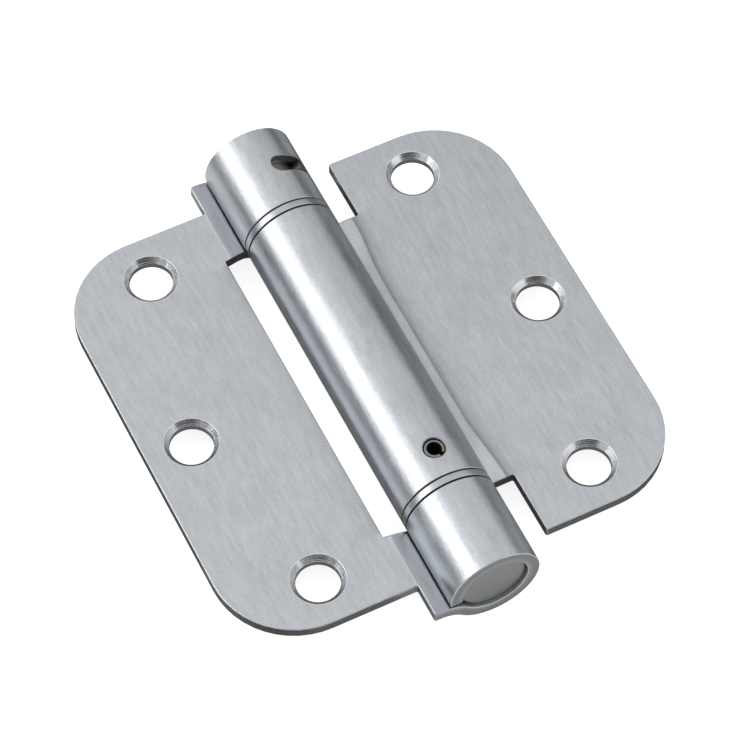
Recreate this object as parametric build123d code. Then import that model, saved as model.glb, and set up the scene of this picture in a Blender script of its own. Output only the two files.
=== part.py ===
from build123d import *
import os
from math import asin, atan2, degrees, radians, sqrt, tan

# Spring loaded butt hinge: two swaged sheet leaves curled into one barrel round a torsion spring.
# The origin is on the pin axis at the middle of the barrel. +X points across the door leaf, +Y runs
# along the pin to the end with the adjusting slot, and +Z is the side that the screws enter from.
# The leaves lie opened flat. Lengths are in millimetres and angles in degrees. An angle round the
# barrel is counted from the top (+Z) towards the door leaf (+X).

# Leaves
SHEET = 2.34                  # thickness of the sheet that both leaves are cut and curled from
LEAF_HEIGHT = 88.9            # along the pin
OPEN_WIDTH = 88.9             # over both leaves, opened flat
CORNER_RADIUS = 15.875        # the two outer corners of each leaf
CLOSED_GAP = 3.14             # between the leaves' faces when the hinge is closed
SWAGE_RADIUS = 6.0            # back of the offset bend between leaf and knuckle
SEAM_ANGLE = 10.0             # the curl stops this far below the level of the pin, on its leaf's side

# Barrel
BARREL_RADIUS = 8.8
BARREL_OVERHANG = 6.75        # each end knuckle passes the leaves' height by this much
END_KNUCKLE = 17.65           # length of each of the frame leaf's knuckles
FREE_END_CHAMFER = 0.35       # outer edge of the barrel's two ends
JOINT_CHAMFER = 0.18          # outer edges where a knuckle meets a bearing ring

# Outlines of the leaves beside the barrel
NOTCH_WAY = 4.3               # frame leaf's notch, clear of the centre knuckle by this much
NOTCH_SPLAY = 0.65            # the notch's ends widen by this much towards the barrel
TAB_WIDTH = 3.15              # tabs that pass the leaf's height, outside the end knuckles
RELIEF_WAY = 5.0              # door leaf, clear of the end knuckles by this much

# Screw holes, countersunk from the barrel's side
SCREW_HOLE_RADIUS = 4.1
COUNTERSINK_RADIUS = 5.05
COUNTERSINK_ANGLE = 82.0
END_SCREW_FROM_EDGE = 17.25   # from the leaf's long outer edge
END_SCREW_FROM_END = 8.95     # from the leaf's top and bottom
MIDDLE_SCREW_FROM_EDGE = 9.05

# Bearing rings between the knuckles
RING_THICKNESS = 1.85
RING_FACE_GAP = 0.05          # each side of a ring
RING_CHAMFER = 0.18

# Plugs that the leaves turn on
PLUG_CLEARANCE = 0.06         # radial, in the knuckles and rings
PLUG_RECESS = 0.8             # plug's end below the barrel's end
PLUG_CHAMFER = 0.3
LOWER_PLUG_HOLD = 12.8        # length inside the centre knuckle
ADJUSTING_PLUG_HOLD = 7.0

# Roll pin that holds the lower plug in the centre knuckle
ROLL_PIN_RADIUS = 2.0
ROLL_PIN_WALL = 0.55
ROLL_PIN_SLIT = 0.9
ROLL_PIN_SLIT_TURN = -60.0    # about the pin's own axis
ROLL_PIN_RECESS = 0.15        # below the barrel's surface
ROLL_PIN_CLEARANCE = 0.04
ROLL_PIN_CHAMFER = 0.18
ROLL_PIN_FROM_KNUCKLE_END = 5.8
ROLL_PIN_ANGLE = 3.5
HOLE_BREAK = 0.28             # broken edge of the pin's hole

# Tension adjustment
PIN_RADIUS = 1.59
PIN_CLEARANCE = 0.04
PIN_HOLE_DEPTH = 3.0
PIN_HOLES = 6
PIN_RECESS = 0.2              # pin's end below the barrel's surface
PIN_CHAMFER = 0.25
SLOT_WIDTH = 3.6
SLOT_FROM_BARREL_END = 8.8    # middle of the slot
SLOT_FIRST_ANGLE = 20.0       # centres of the slot's round ends
SLOT_LAST_ANGLE = 64.0
WRENCH_FLATS = 3.97           # hexagon socket in the adjusting plug's end
WRENCH_DEPTH = 4.0

# Torsion spring of flat wire
WIRE_THICKNESS = 2.0          # across the coil's wall
WIRE_WIDTH = 3.2              # along the pin
COIL_GAP = 0.25               # between neighbouring turns
COIL_CLEARANCE = 0.35         # radial, between the coils and the centre knuckle
COIL_END_GAP = 0.3            # between the end coils and the plugs
TANG_REACH = 3.4              # how far a tang stands in its plug's slot
TANG_CLEARANCE = 0.1          # each side of the tang
TANG_END_CLEARANCE = 0.4      # between the tang's end and the slot's floor

# Places worked out from the sizes above
BORE_RADIUS = BARREL_RADIUS - SHEET
PLUG_RADIUS = BORE_RADIUS - PLUG_CLEARANCE
COIL_RADIUS = BORE_RADIUS - COIL_CLEARANCE - WIRE_THICKNESS / 2
LEAF_FACE = -CLOSED_GAP / 2
LEAF_BACK = LEAF_FACE - SHEET
LEAF_REACH = OPEN_WIDTH / 2
HALF_HEIGHT = LEAF_HEIGHT / 2
HALF_BARREL = HALF_HEIGHT + BARREL_OVERHANG
END_KNUCKLE_START = HALF_BARREL - END_KNUCKLE
RING_START = END_KNUCKLE_START - RING_FACE_GAP - RING_THICKNESS
HALF_CENTRE = RING_START - RING_FACE_GAP
NOTCH_EDGE = BARREL_RADIUS + NOTCH_WAY
TAB_EDGE = BARREL_RADIUS + TAB_WIDTH
RELIEF_EDGE = BARREL_RADIUS + RELIEF_WAY
PLUG_END = HALF_BARREL - PLUG_RECESS
LOWER_PLUG_TOP = -HALF_CENTRE + LOWER_PLUG_HOLD
ADJUSTING_PLUG_FOOT = HALF_CENTRE - ADJUSTING_PLUG_HOLD
ROLL_PIN_Y = -HALF_CENTRE + ROLL_PIN_FROM_KNUCKLE_END
SLOT_Y = HALF_BARREL - SLOT_FROM_BARREL_END
CLEAR_OF_ALL = 2 * BARREL_RADIUS  # reach of a cutting shape that passes right through
TOUCH = 0.001                 # places nearer than this are the same place


def swage_centre():
    """Centre of the offset bend, whose back is tangent to the leaf and to the knuckle."""
    z = LEAF_BACK - SWAGE_RADIUS
    x = -sqrt((SWAGE_RADIUS + BARREL_RADIUS) ** 2 - z ** 2)
    return x, z


def sheet_section(length):
    """Leaf, offset bend and curled knuckle of the frame leaf as one bent strip, centred on Y."""
    bend_x, bend_z = swage_centre()
    meet = degrees(asin(-bend_z / (SWAGE_RADIUS + BARREL_RADIUS)))
    curl_start = 180 + meet
    curl = 360 + 180 + SEAM_ANGLE - curl_start
    bend = SWAGE_RADIUS + SHEET
    back = Line((-LEAF_REACH, LEAF_BACK), (bend_x, LEAF_BACK))
    back_bend = CenterArc((bend_x, bend_z), SWAGE_RADIUS, 90, meet - 90)
    outside = CenterArc((0, 0), BARREL_RADIUS, curl_start, curl)
    inside = CenterArc((0, 0), BORE_RADIUS, curl_start, curl)
    curl_end = Line(outside @ 1, inside @ 1)
    face_bend = CenterArc((bend_x, bend_z), bend, 90, meet - 90)
    face = Line((bend_x, LEAF_FACE), (-LEAF_REACH, LEAF_FACE))
    edge = Line(face @ 1, back @ 0)
    outline = back + back_bend + outside + curl_end + inside + face_bend + face + edge
    return extrude(Plane.XZ * make_face(outline), amount=length / 2, both=True)


def slab(outline):
    """Plan outline as a block that reaches through the whole hinge."""
    return extrude(outline, amount=CLEAR_OF_ALL, both=True)


def leaf_plate(inner_edge, side):
    """Plan of the flat part: full height, from inner_edge outwards, its outer corners rounded."""
    width = LEAF_REACH - inner_edge
    plate = Pos(side * (inner_edge + width / 2), 0) * Rectangle(width, LEAF_HEIGHT)
    outer = plate.vertices().group_by(Axis.X)[-1 if side > 0 else 0]
    return fillet(outer, CORNER_RADIUS)


def radial(angle, y=0.0):
    """Frame whose +Z points out of the barrel at an angle round it, at a place along the pin."""
    return Pos(0, y, 0) * Rot(0, angle, 0)


def screw_holes(side):
    """Three countersunk holes, as the solids that are cut from a leaf."""
    depth = (COUNTERSINK_RADIUS - SCREW_HOLE_RADIUS) / tan(radians(COUNTERSINK_ANGLE / 2))
    end_x = LEAF_REACH - END_SCREW_FROM_EDGE
    end_y = HALF_HEIGHT - END_SCREW_FROM_END
    places = [(end_x, end_y), (end_x, -end_y), (LEAF_REACH - MIDDLE_SCREW_FROM_EDGE, 0)]
    through = Pos(0, 0, (LEAF_FACE + LEAF_BACK) / 2) * Cylinder(SCREW_HOLE_RADIUS, 2 * SHEET)
    sink = Pos(0, 0, LEAF_FACE - depth / 2) * Cone(SCREW_HOLE_RADIUS, COUNTERSINK_RADIUS, depth)
    return [Pos(side * x, y, 0) * (through + sink) for x, y in places]


def knuckle_rims(leaf, place):
    """Outer edges of the knuckle ends that lie at a place along the pin, on both sides of its middle."""
    return [edge for edge in leaf.edges().filter_by(GeomType.CIRCLE)
            if abs(edge.radius - BARREL_RADIUS) < TOUCH
            and abs(abs(edge.arc_center.Y) - place) < TOUCH
            and edge.bounding_box().size.Y < TOUCH]


def frame_leaf():
    """Leaf with the two end knuckles, notched round the centre knuckle."""
    plate = leaf_plate(NOTCH_EDGE, -1)
    middle = END_KNUCKLE_START + END_KNUCKLE / 2
    band_width = TAB_EDGE + CLEAR_OF_ALL
    band = Pos(band_width / 2 - TAB_EDGE, 0) * Rectangle(band_width, END_KNUCKLE)
    neck = Polyline((-NOTCH_EDGE, END_KNUCKLE_START - NOTCH_SPLAY),
                    (-BARREL_RADIUS, END_KNUCKLE_START),
                    (-BARREL_RADIUS, HALF_HEIGHT),
                    (-NOTCH_EDGE, HALF_HEIGHT), close=True)
    neck = make_face(neck)
    plan = plate + Pos(0, middle) * band + Pos(0, -middle) * band + neck + mirror(neck, Plane.XZ)
    leaf = sheet_section(2 * HALF_BARREL) & slab(plan)
    leaf -= adjusting_slot()
    leaf -= screw_holes(-1)
    leaf = chamfer(knuckle_rims(leaf, HALF_BARREL), FREE_END_CHAMFER)
    return chamfer(knuckle_rims(leaf, END_KNUCKLE_START), JOINT_CHAMFER)


def door_leaf():
    """Leaf with the long centre knuckle, and the roll pin's hole through the knuckle's top."""
    root = Rectangle(2 * (RELIEF_EDGE + SHEET), 2 * HALF_CENTRE)
    plan = leaf_plate(RELIEF_EDGE, 1) + root
    leaf = mirror(sheet_section(LEAF_HEIGHT), Plane.YZ) & slab(plan)
    hole_radius = ROLL_PIN_RADIUS + ROLL_PIN_CLEARANCE
    wall_middle = (BARREL_RADIUS + BORE_RADIUS) / 2
    broken = Cone(hole_radius, hole_radius + 2 * HOLE_BREAK, 2 * HOLE_BREAK)
    hole = radial(ROLL_PIN_ANGLE, ROLL_PIN_Y) * (
        Pos(0, 0, wall_middle) * Cylinder(hole_radius, 2 * SHEET)
        + Pos(0, 0, BARREL_RADIUS) * broken)
    leaf -= hole
    leaf -= screw_holes(1)
    return chamfer(knuckle_rims(leaf, HALF_CENTRE), JOINT_CHAMFER)


def adjusting_slot():
    """Slot part of the way round the end knuckle, as a cutter of the slot's width leaves it."""
    reach = BARREL_RADIUS + SHEET
    inner = BORE_RADIUS / 2
    start = 90 - SLOT_LAST_ANGLE
    sweep_angle = SLOT_LAST_ANGLE - SLOT_FIRST_ANGLE
    outside = CenterArc((0, 0), reach, start, sweep_angle)
    inside = CenterArc((0, 0), inner, start, sweep_angle)
    sector = outside + Line(outside @ 1, inside @ 1) + inside + Line(inside @ 0, outside @ 0)
    channel = extrude(Plane.XZ * make_face(sector), amount=SLOT_WIDTH / 2, both=True)
    end = Pos(0, 0, (reach + inner) / 2) * Cylinder(SLOT_WIDTH / 2, reach - inner)
    return [Pos(0, SLOT_Y, 0) * channel,
            radial(SLOT_FIRST_ANGLE, SLOT_Y) * end,
            radial(SLOT_LAST_ANGLE, SLOT_Y) * end]


def turned(radius, start, end):
    """Round bar along the pin from start to end."""
    return Pos(0, (start + end) / 2, 0) * Rot(90, 0, 0) * Cylinder(radius, end - start)


def bearing_ring(side):
    """Plain ring that the end of the centre knuckle runs on."""
    start = RING_START if side > 0 else -RING_START - RING_THICKNESS
    ring = turned(BARREL_RADIUS, start, start + RING_THICKNESS)
    ring = chamfer(ring.edges().filter_by(GeomType.CIRCLE), RING_CHAMFER)
    return ring - turned(BORE_RADIUS, start, start + RING_THICKNESS)


def plug_blank(start, end):
    """Turned plug from start to end along the pin, the edges of both ends broken."""
    plug = turned(PLUG_RADIUS, start, end)
    return chamfer(plug.edges().filter_by(GeomType.CIRCLE), PLUG_CHAMFER)


def tang_slot(plug_face, place):
    """Slot across a plug's inner face, in line with the tang at one end of the coils."""
    depth = TANG_REACH + TANG_END_CLEARANCE
    slot = Box(2 * BORE_RADIUS, 2 * depth, WIRE_WIDTH + 2 * TANG_CLEARANCE)
    return Pos(0, plug_face, 0) * Rot(0, tang_angle(place), 0) * slot


def lower_pivot_plug():
    """Plug that the lower end knuckle turns on, cross-drilled for the roll pin."""
    plug = plug_blank(-PLUG_END, LOWER_PLUG_TOP)
    cross_hole = radial(ROLL_PIN_ANGLE, ROLL_PIN_Y) * Cylinder(
        ROLL_PIN_RADIUS + ROLL_PIN_CLEARANCE, 2 * BARREL_RADIUS)
    return plug - tang_slot(LOWER_PLUG_TOP, 0) - cross_hole


def adjusting_plug():
    """Plug that winds the spring: radial pin holes behind the slot, and a hexagon socket."""
    plug = plug_blank(ADJUSTING_PLUG_FOOT, PLUG_END)
    hole = Pos(0, 0, PLUG_RADIUS) * Cylinder(PIN_RADIUS + PIN_CLEARANCE, 2 * PIN_HOLE_DEPTH)
    holes = [radial(SLOT_LAST_ANGLE + 360 / PIN_HOLES * index, SLOT_Y) * hole
             for index in range(PIN_HOLES)]
    hexagon = RegularPolygon(WRENCH_FLATS / 2, 6, major_radius=False)
    socket = Pos(0, PLUG_END, 0) * Rot(90, 0, 0) * extrude(hexagon, amount=WRENCH_DEPTH, both=True)
    return plug - tang_slot(ADJUSTING_PLUG_FOOT, 1) - holes - socket


def roll_pin():
    """Slit tube pressed through the centre knuckle's top and the lower plug."""
    outer_end = BARREL_RADIUS - ROLL_PIN_RECESS
    length = outer_end + sqrt(PLUG_RADIUS ** 2 - ROLL_PIN_RADIUS ** 2)
    tube = Cylinder(ROLL_PIN_RADIUS, length)
    tube = chamfer(tube.edges().filter_by(GeomType.CIRCLE), ROLL_PIN_CHAMFER)
    tube -= Cylinder(ROLL_PIN_RADIUS - ROLL_PIN_WALL, length)
    slit = Pos(ROLL_PIN_RADIUS, 0, 0) * Box(2 * ROLL_PIN_RADIUS, ROLL_PIN_SLIT, length)
    tube -= Rot(0, 0, ROLL_PIN_SLIT_TURN) * slit
    return radial(ROLL_PIN_ANGLE, ROLL_PIN_Y) * Pos(0, 0, outer_end - length / 2) * tube


def tension_pin():
    """Plain pin in one hole of the adjusting plug, resting against the end of the slot."""
    inner_end = PLUG_RADIUS - PIN_HOLE_DEPTH + PIN_CLEARANCE
    length = BARREL_RADIUS - PIN_RECESS - inner_end
    pin = Cylinder(PIN_RADIUS, length)
    pin = chamfer(pin.edges().filter_by(GeomType.CIRCLE), PIN_CHAMFER)
    return radial(SLOT_LAST_ANGLE, SLOT_Y) * Pos(0, 0, inner_end + length / 2) * pin


def coil_path():
    """Helix along the middle of the coils, from the lower plug to the adjusting plug."""
    end_room = COIL_END_GAP + WIRE_WIDTH / 2
    start = LOWER_PLUG_TOP + end_room
    height = ADJUSTING_PLUG_FOOT - end_room - start
    return Helix(WIRE_WIDTH + COIL_GAP, height, COIL_RADIUS, center=(0, start, 0), direction=(0, 1, 0))


def tang_angle(place):
    """Turn about the pin that brings a piece on +X to the first (0) or last (1) end of the coils."""
    end = coil_path() @ place
    return degrees(atan2(-end.Z, end.X))


def torsion_spring():
    """Coils of flat wire with a tang along the pin at each end, standing in the plugs' slots."""
    path = coil_path()
    start = path @ 0
    section = Plane(start, x_dir=(start.X, 0, start.Z), z_dir=path % 0)
    spring = sweep(section * Rectangle(WIRE_THICKNESS, WIRE_WIDTH), path=path, is_frenet=True)
    length = TANG_REACH + COIL_END_GAP + WIRE_WIDTH
    for place, side in ((0, -1), (1, 1)):
        tang = Pos(COIL_RADIUS, side * (length - WIRE_WIDTH) / 2, 0) * Box(WIRE_THICKNESS, length, WIRE_WIDTH)
        spring += Pos(0, (path @ place).Y, 0) * Rot(0, tang_angle(place), 0) * tang
    return spring


def write(name, shape):
    """Write one sub-part to its own file."""
    shape.label = name
    export_step(shape, os.path.join("parts", name + ".step"))


def main():
    os.makedirs("parts", exist_ok=True)
    write("frame_leaf", frame_leaf())
    write("door_leaf", door_leaf())
    write("lower_bearing_ring", bearing_ring(-1))
    write("upper_bearing_ring", bearing_ring(1))
    write("lower_pivot_plug", lower_pivot_plug())
    write("adjusting_plug", adjusting_plug())
    write("roll_pin", roll_pin())
    write("tension_pin", tension_pin())
    write("torsion_spring", torsion_spring())


main()
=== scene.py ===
import logging
import math
from dataclasses import dataclass
from enum import Enum, IntEnum
from typing import Any, Callable, Iterable, Sequence

import bmesh
import bpy
from mathutils import Euler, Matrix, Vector
from mathutils.geometry import delaunay_2d_cdt


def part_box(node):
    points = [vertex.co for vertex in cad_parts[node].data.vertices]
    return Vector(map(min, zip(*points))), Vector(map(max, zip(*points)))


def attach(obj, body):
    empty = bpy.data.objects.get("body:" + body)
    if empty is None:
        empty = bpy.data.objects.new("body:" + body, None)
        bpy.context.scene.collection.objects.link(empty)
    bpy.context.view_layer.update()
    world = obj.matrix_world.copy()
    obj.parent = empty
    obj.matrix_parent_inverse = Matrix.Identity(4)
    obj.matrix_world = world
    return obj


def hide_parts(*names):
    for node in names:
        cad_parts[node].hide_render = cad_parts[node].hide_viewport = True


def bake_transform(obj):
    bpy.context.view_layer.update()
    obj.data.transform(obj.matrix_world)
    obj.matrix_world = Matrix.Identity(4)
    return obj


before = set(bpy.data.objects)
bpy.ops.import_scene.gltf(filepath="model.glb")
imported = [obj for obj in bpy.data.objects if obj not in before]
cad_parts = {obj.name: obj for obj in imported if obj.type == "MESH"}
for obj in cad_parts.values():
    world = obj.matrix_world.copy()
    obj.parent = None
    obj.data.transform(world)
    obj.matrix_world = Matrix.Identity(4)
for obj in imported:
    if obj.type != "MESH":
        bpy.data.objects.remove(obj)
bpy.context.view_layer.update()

# Spring loaded door hinge in satin chrome, opened flat with its screw side up. The pieces are
# worked out in millimetres, as on a maker's drawing, and written to their meshes in metres.
# An angle round the barrel is counted from the top (+Z) towards the door leaf (+X).

MM = 0.001
CLOSE = 1e-6
SAME_PLACE = 1e-7
FLOOR_GAP = 0.02
log = logging.getLogger("hinge")

Place = Callable[[float, float, float], tuple[Vector, Vector, Vector]]
Colour = tuple[float, float, float]


def new_object(name: str, data: Any) -> bpy.types.Object:
    """Make an object and link it to the scene."""
    made = bpy.data.objects.new(name, data)
    bpy.context.scene.collection.objects.link(made)
    return made


@dataclass(frozen=True)
class HingeSizes:
    """Sizes that several pieces share, in millimetres.

    The first six are read from the frame, and the rest are sizes of the sheet and its bends.
    """

    reach: float
    half_height: float
    half_barrel: float
    barrel_radius: float
    ring_start: float
    ring_thickness: float
    ring_gap: float = 0.05
    sheet: float = 2.34
    closed_gap: float = 3.14
    swage_radius: float = 6.0
    seam_angle: float = 10.0

    @classmethod
    def from_frame(cls) -> "HingeSizes":
        """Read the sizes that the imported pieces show."""
        frame_low, frame_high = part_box("frame_leaf")
        ring_low, ring_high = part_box("upper_bearing_ring")
        return cls(
            reach=-frame_low.x / MM,
            half_height=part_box("door_leaf")[1].y / MM,
            half_barrel=frame_high.y / MM,
            barrel_radius=frame_high.z / MM,
            ring_start=ring_low.y / MM,
            ring_thickness=(ring_high.y - ring_low.y) / MM,
        )

    @property
    def bore_radius(self) -> float:
        """Inside of the knuckles."""
        return self.barrel_radius - self.sheet

    @property
    def half_centre(self) -> float:
        """Half the length of the centre knuckle."""
        return self.ring_start - self.ring_gap

    @property
    def end_knuckle_start(self) -> float:
        """Where an end knuckle begins, from the barrel's middle."""
        return self.ring_start + self.ring_thickness + self.ring_gap


class SheetFace(IntEnum):
    """Finish of a stretch of a leaf, as the number of its material slot."""

    SATIN = 0
    CUT_EDGE = 1
    TURNED = 2


class Side(IntEnum):
    """The side of the pin that a leaf lies on, as the sign of its X."""

    FRAME = -1
    DOOR = 1


@dataclass(frozen=True)
class BlankPoint:
    """A point of a flat blank: along the sheet, along the pin, through the thickness.

    The normal is in the same three directions. wear is the worn share of an edge, and turn is
    the distance from the middle of a turned hole.
    """

    along: float
    pin: float
    through: float
    normal: tuple[float, float, float]
    wear: float = 0.0
    turn: float = 0.0


@dataclass(frozen=True)
class Corner:
    """A corner of a blank's outline and the radius it is rounded to."""

    along: float
    pin: float
    radius: float


@dataclass(frozen=True)
class OutlinePoint:
    """A point on a blank's outline with its outward direction."""

    along: float
    pin: float
    out_along: float
    out_pin: float

    def inset(self, distance: float, through: float, lean: float, wear: float) -> BlankPoint:
        """The point moved into the blank.

        Args:
            distance: How far it moves in from the outline.
            through: Its place through the thickness.
            lean: Angle of its normal from the outline's own direction, towards the face.
            wear: Worn share of the edge there.

        Returns:
            The moved point with its normal.
        """
        flat = math.cos(lean)
        return BlankPoint(
            self.along - self.out_along * distance,
            self.pin - self.out_pin * distance,
            through,
            (self.out_along * flat, self.out_pin * flat, math.sin(lean)),
            wear,
        )


def rounded_outline(corners: Sequence[Corner], step: float = 7.5) -> list[OutlinePoint]:
    """Outline that runs anticlockwise through rounded corners.

    Args:
        corners: The corners in order, each with its radius.
        step: Largest angle between neighbouring points of an arc, in degrees.

    Returns:
        The outline's points, with the outward direction at each.
    """
    points: list[OutlinePoint] = []
    for index, corner in enumerate(corners):
        before, after = corners[index - 1], corners[(index + 1) % len(corners)]
        here = Vector((corner.along, corner.pin))
        come = (here - Vector((before.along, before.pin))).normalized()
        go = (Vector((after.along, after.pin)) - here).normalized()
        turn = math.atan2(come.x * go.y - come.y * go.x, come.dot(go))
        bulge = math.copysign(corner.radius, turn)
        right = Vector((come.y, -come.x))
        centre = here - come * (corner.radius * math.tan(abs(turn) / 2)) - right * bulge
        count = max(2, math.ceil(abs(math.degrees(turn)) / step))
        for number in range(count + 1):
            angle = turn * number / count
            out = Vector((
                right.x * math.cos(angle) - right.y * math.sin(angle),
                right.x * math.sin(angle) + right.y * math.cos(angle),
            ))
            point = centre + out * bulge
            points.append(OutlinePoint(point.x, point.y, out.x, out.y))
    return points


def arc(along: float, pin: float, radius: float, first: float, last: float,
        count: int) -> list[OutlinePoint]:
    """Points of an arc, both ends included unless it is a full circle.

    Args:
        along: Its centre along the sheet.
        pin: Its centre along the pin.
        radius: Its radius.
        first: Angle of its first point, in degrees.
        last: Angle of its last point.
        count: Number of steps.

    Returns:
        The points, with the outward direction at each.
    """
    total = count if math.isclose(last - first, 360.0) else count + 1
    points = []
    for number in range(total):
        angle = math.radians(first + (last - first) * number / count)
        a, p = math.cos(angle), math.sin(angle)
        points.append(OutlinePoint(along + radius * a, pin + radius * p, a, p))
    return points


def corner_arc(reach: float, turn: float, radius: float, first: float, last: float,
               count: int) -> list[OutlinePoint]:
    """Inner points of an arc whose centre is given by a distance and an angle from the origin.

    Args:
        reach: The centre's distance from the origin.
        turn: The centre's angle, in degrees.
        radius: The arc's radius.
        first: Angle where the arc starts.
        last: Angle where it ends.
        count: Number of steps.

    Returns:
        The points between the arc's two ends.
    """
    angle = math.radians(turn)
    full = arc(reach * math.cos(angle), reach * math.sin(angle), radius, first, last, count)
    return full[1:-1]


def quarter_round(side: int, steps: int) -> list[tuple[float, float, float, float]]:
    """Steps of a rounded edge, in the order from the face to the back.

    Args:
        side: 1 for an edge of the face and -1 for an edge of the back.
        steps: Number of steps.

    Returns:
        For each step the lean of its normal towards the face, its distances from the wall and
        from the face or the back in shares of the radius, and its worn share.
    """
    shares = [1 - n / steps if side > 0 else n / steps for n in range(steps + 1)]
    leans = [side * math.pi / 2 * share for share in shares]
    return [(a, 1 - math.cos(a), 1 - abs(math.sin(a)), abs(math.sin(2 * a))) for a in leans]


class BlankMesh:
    """A solid built flat, between loops of points that run from its face to its back."""

    ROUND_STEPS = 4
    FLAT_CLOSE = 1e-7

    def __init__(self) -> None:
        """Start an empty solid with the attributes that its finishes read."""
        self.mesh = bmesh.new()
        layers = self.mesh.verts.layers
        self.normal_layer = layers.float_vector.new("flat_normal")
        self.wear_layer = layers.float.new("edge_wear")
        self.turn_layer = layers.float.new("turn_radius")
        self.depth_layer = layers.float.new("sheet_depth")
        self.blank_layer = layers.float_vector.new("blank_place")

    def loop(self, points: Iterable[BlankPoint], half: float) -> list[bmesh.types.BMVert]:
        """Add a closed loop of points.

        Args:
            points: The loop's points in order.
            half: Half the solid's thickness, which the depth is counted from.

        Returns:
            The loop's vertices.
        """
        made = []
        for point in points:
            vert = self.mesh.verts.new((point.along, point.pin, point.through))
            vert[self.normal_layer] = point.normal
            vert[self.wear_layer] = point.wear
            vert[self.turn_layer] = point.turn
            vert[self.depth_layer] = (half - point.through) / (2 * half)
            vert[self.blank_layer] = Vector((point.along, point.pin, point.through)) * MM
            made.append(vert)
        return made

    def wall(self, loops: Sequence[Sequence[bmesh.types.BMVert]],
             finish: Callable[[float], int]) -> None:
        """Join neighbouring loops with faces, from the face side to the back.

        Args:
            loops: Loops of equal length, each below the one before it.
            finish: Gives the material slot at a place along the sheet.
        """
        for upper, lower in zip(loops, loops[1:]):
            for index in range(len(upper)):
                after = (index + 1) % len(upper)
                made = self.mesh.faces.new((upper[index], lower[index], lower[after], upper[after]))
                made.material_index = finish(upper[index].co.x)

    def cap(self, outer: Sequence[bmesh.types.BMVert], holes: Sequence[Sequence[bmesh.types.BMVert]],
            face_up: bool, finish: int) -> None:
        """Close the face or the back between an outline and its holes.

        Args:
            outer: The outline's loop.
            holes: The holes' loops.
            face_up: Whether this is the face side.
            finish: Material slot of the new faces.
        """
        groups = [outer, *holes]
        verts = [vert for group in groups for vert in group]
        owners = [number for number, group in enumerate(groups) for _ in group]
        edges, start = [], 0
        for group in groups:
            edges += [(start + i, start + (i + 1) % len(group)) for i in range(len(group))]
            start += len(group)
        flat = [vert.co.to_2d() for vert in verts]
        _, _, faces, origins, _, _ = delaunay_2d_cdt(flat, edges, [], 1, self.FLAT_CLOSE)
        for face in faces:
            corners = [origins[index][0] for index in face]
            groups_met = {owners[corner] for corner in corners}
            if len(groups_met) == 1 and 0 not in groups_met:
                continue
            ordered = corners if face_up else corners[::-1]
            made = self.mesh.faces.new([verts[corner] for corner in ordered])
            made.material_index = finish

    def cut_along(self, places: Iterable[float]) -> None:
        """Divide the faces across the sheet, so that it can bend there.

        Args:
            places: Distances along the sheet.
        """
        ahead = self.mesh.faces[:]
        for place in sorted(places):
            ahead = [face for face in ahead
                     if face.is_valid and max(v.co.x for v in face.verts) > place + CLOSE]
            crossed = [face for face in ahead if min(v.co.x for v in face.verts) < place - CLOSE]
            parts = set(crossed)
            for face in crossed:
                parts.update(face.edges)
                parts.update(face.verts)
            cut = bmesh.ops.bisect_plane(
                self.mesh, geom=list(parts), dist=CLOSE, plane_co=(place, 0, 0), plane_no=(1, 0, 0))
            made = [part for part in cut["geom"] if isinstance(part, bmesh.types.BMFace)]
            ahead = list(set(ahead) | set(made))

    def finish(self, name: str, place: Place, mirrored: bool,
               materials: Sequence[bpy.types.Material]) -> bpy.types.Object:
        """Move every point to its real place and make the object.

        Args:
            name: The object's name.
            place: Gives the real point, the direction along the sheet and the face's direction.
            mirrored: Whether place turns the solid inside out.
            materials: The object's materials in the order of their slots.

        Returns:
            The new object, linked to the scene.
        """
        normals = []
        along_pin = Vector((0, 1, 0))
        for vert in self.mesh.verts:
            point, along, up = place(*vert.co)
            flat = vert[self.normal_layer]
            normals.append((along * flat.x + along_pin * flat.y + up * flat.z).normalized())
            vert.co = point * MM
        if mirrored:
            bmesh.ops.reverse_faces(self.mesh, faces=self.mesh.faces[:])
        for face in self.mesh.faces:
            face.smooth = True
        self.mesh.verts.layers.float_vector.remove(self.mesh.verts.layers.float_vector["flat_normal"])
        mesh = bpy.data.meshes.new(name)
        self.mesh.to_mesh(mesh)
        self.mesh.free()
        for material in materials:
            mesh.materials.append(material)
        mesh.normals_split_custom_set_from_vertices(normals)
        return new_object(name, mesh)


@dataclass(frozen=True)
class EdgeRound:
    """How an edge is rounded at a point of the outline: its radius and its worn share."""

    radius: float
    worn: float = 1.0


def rounded_sides(
        outline: Sequence[OutlinePoint], half: float, face_edge: Callable[[OutlinePoint], EdgeRound],
        back_edge: Callable[[OutlinePoint], EdgeRound]) -> tuple[list[list[BlankPoint]], int, int]:
    """Loops of points round a blank's outline, with both of its edges rounded.

    Args:
        outline: The outline.
        half: Half the thickness.
        face_edge: Gives the face edge's rounding at a point.
        back_edge: Gives the back edge's rounding at a point.

    Returns:
        The loops from the face to the back, and the numbers of the wall's first and last loop.
    """
    steps = BlankMesh.ROUND_STEPS
    loops = []
    for side, edge_at in ((1, face_edge), (-1, back_edge)):
        edges = [edge_at(point) for point in outline]
        for lean, inwards, down, wear in quarter_round(side, steps):
            loops.append([
                p.inset(e.radius * inwards, side * (half - e.radius * down), lean, e.worn * wear)
                for p, e in zip(outline, edges)])
    return loops, steps, steps + 1


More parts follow.
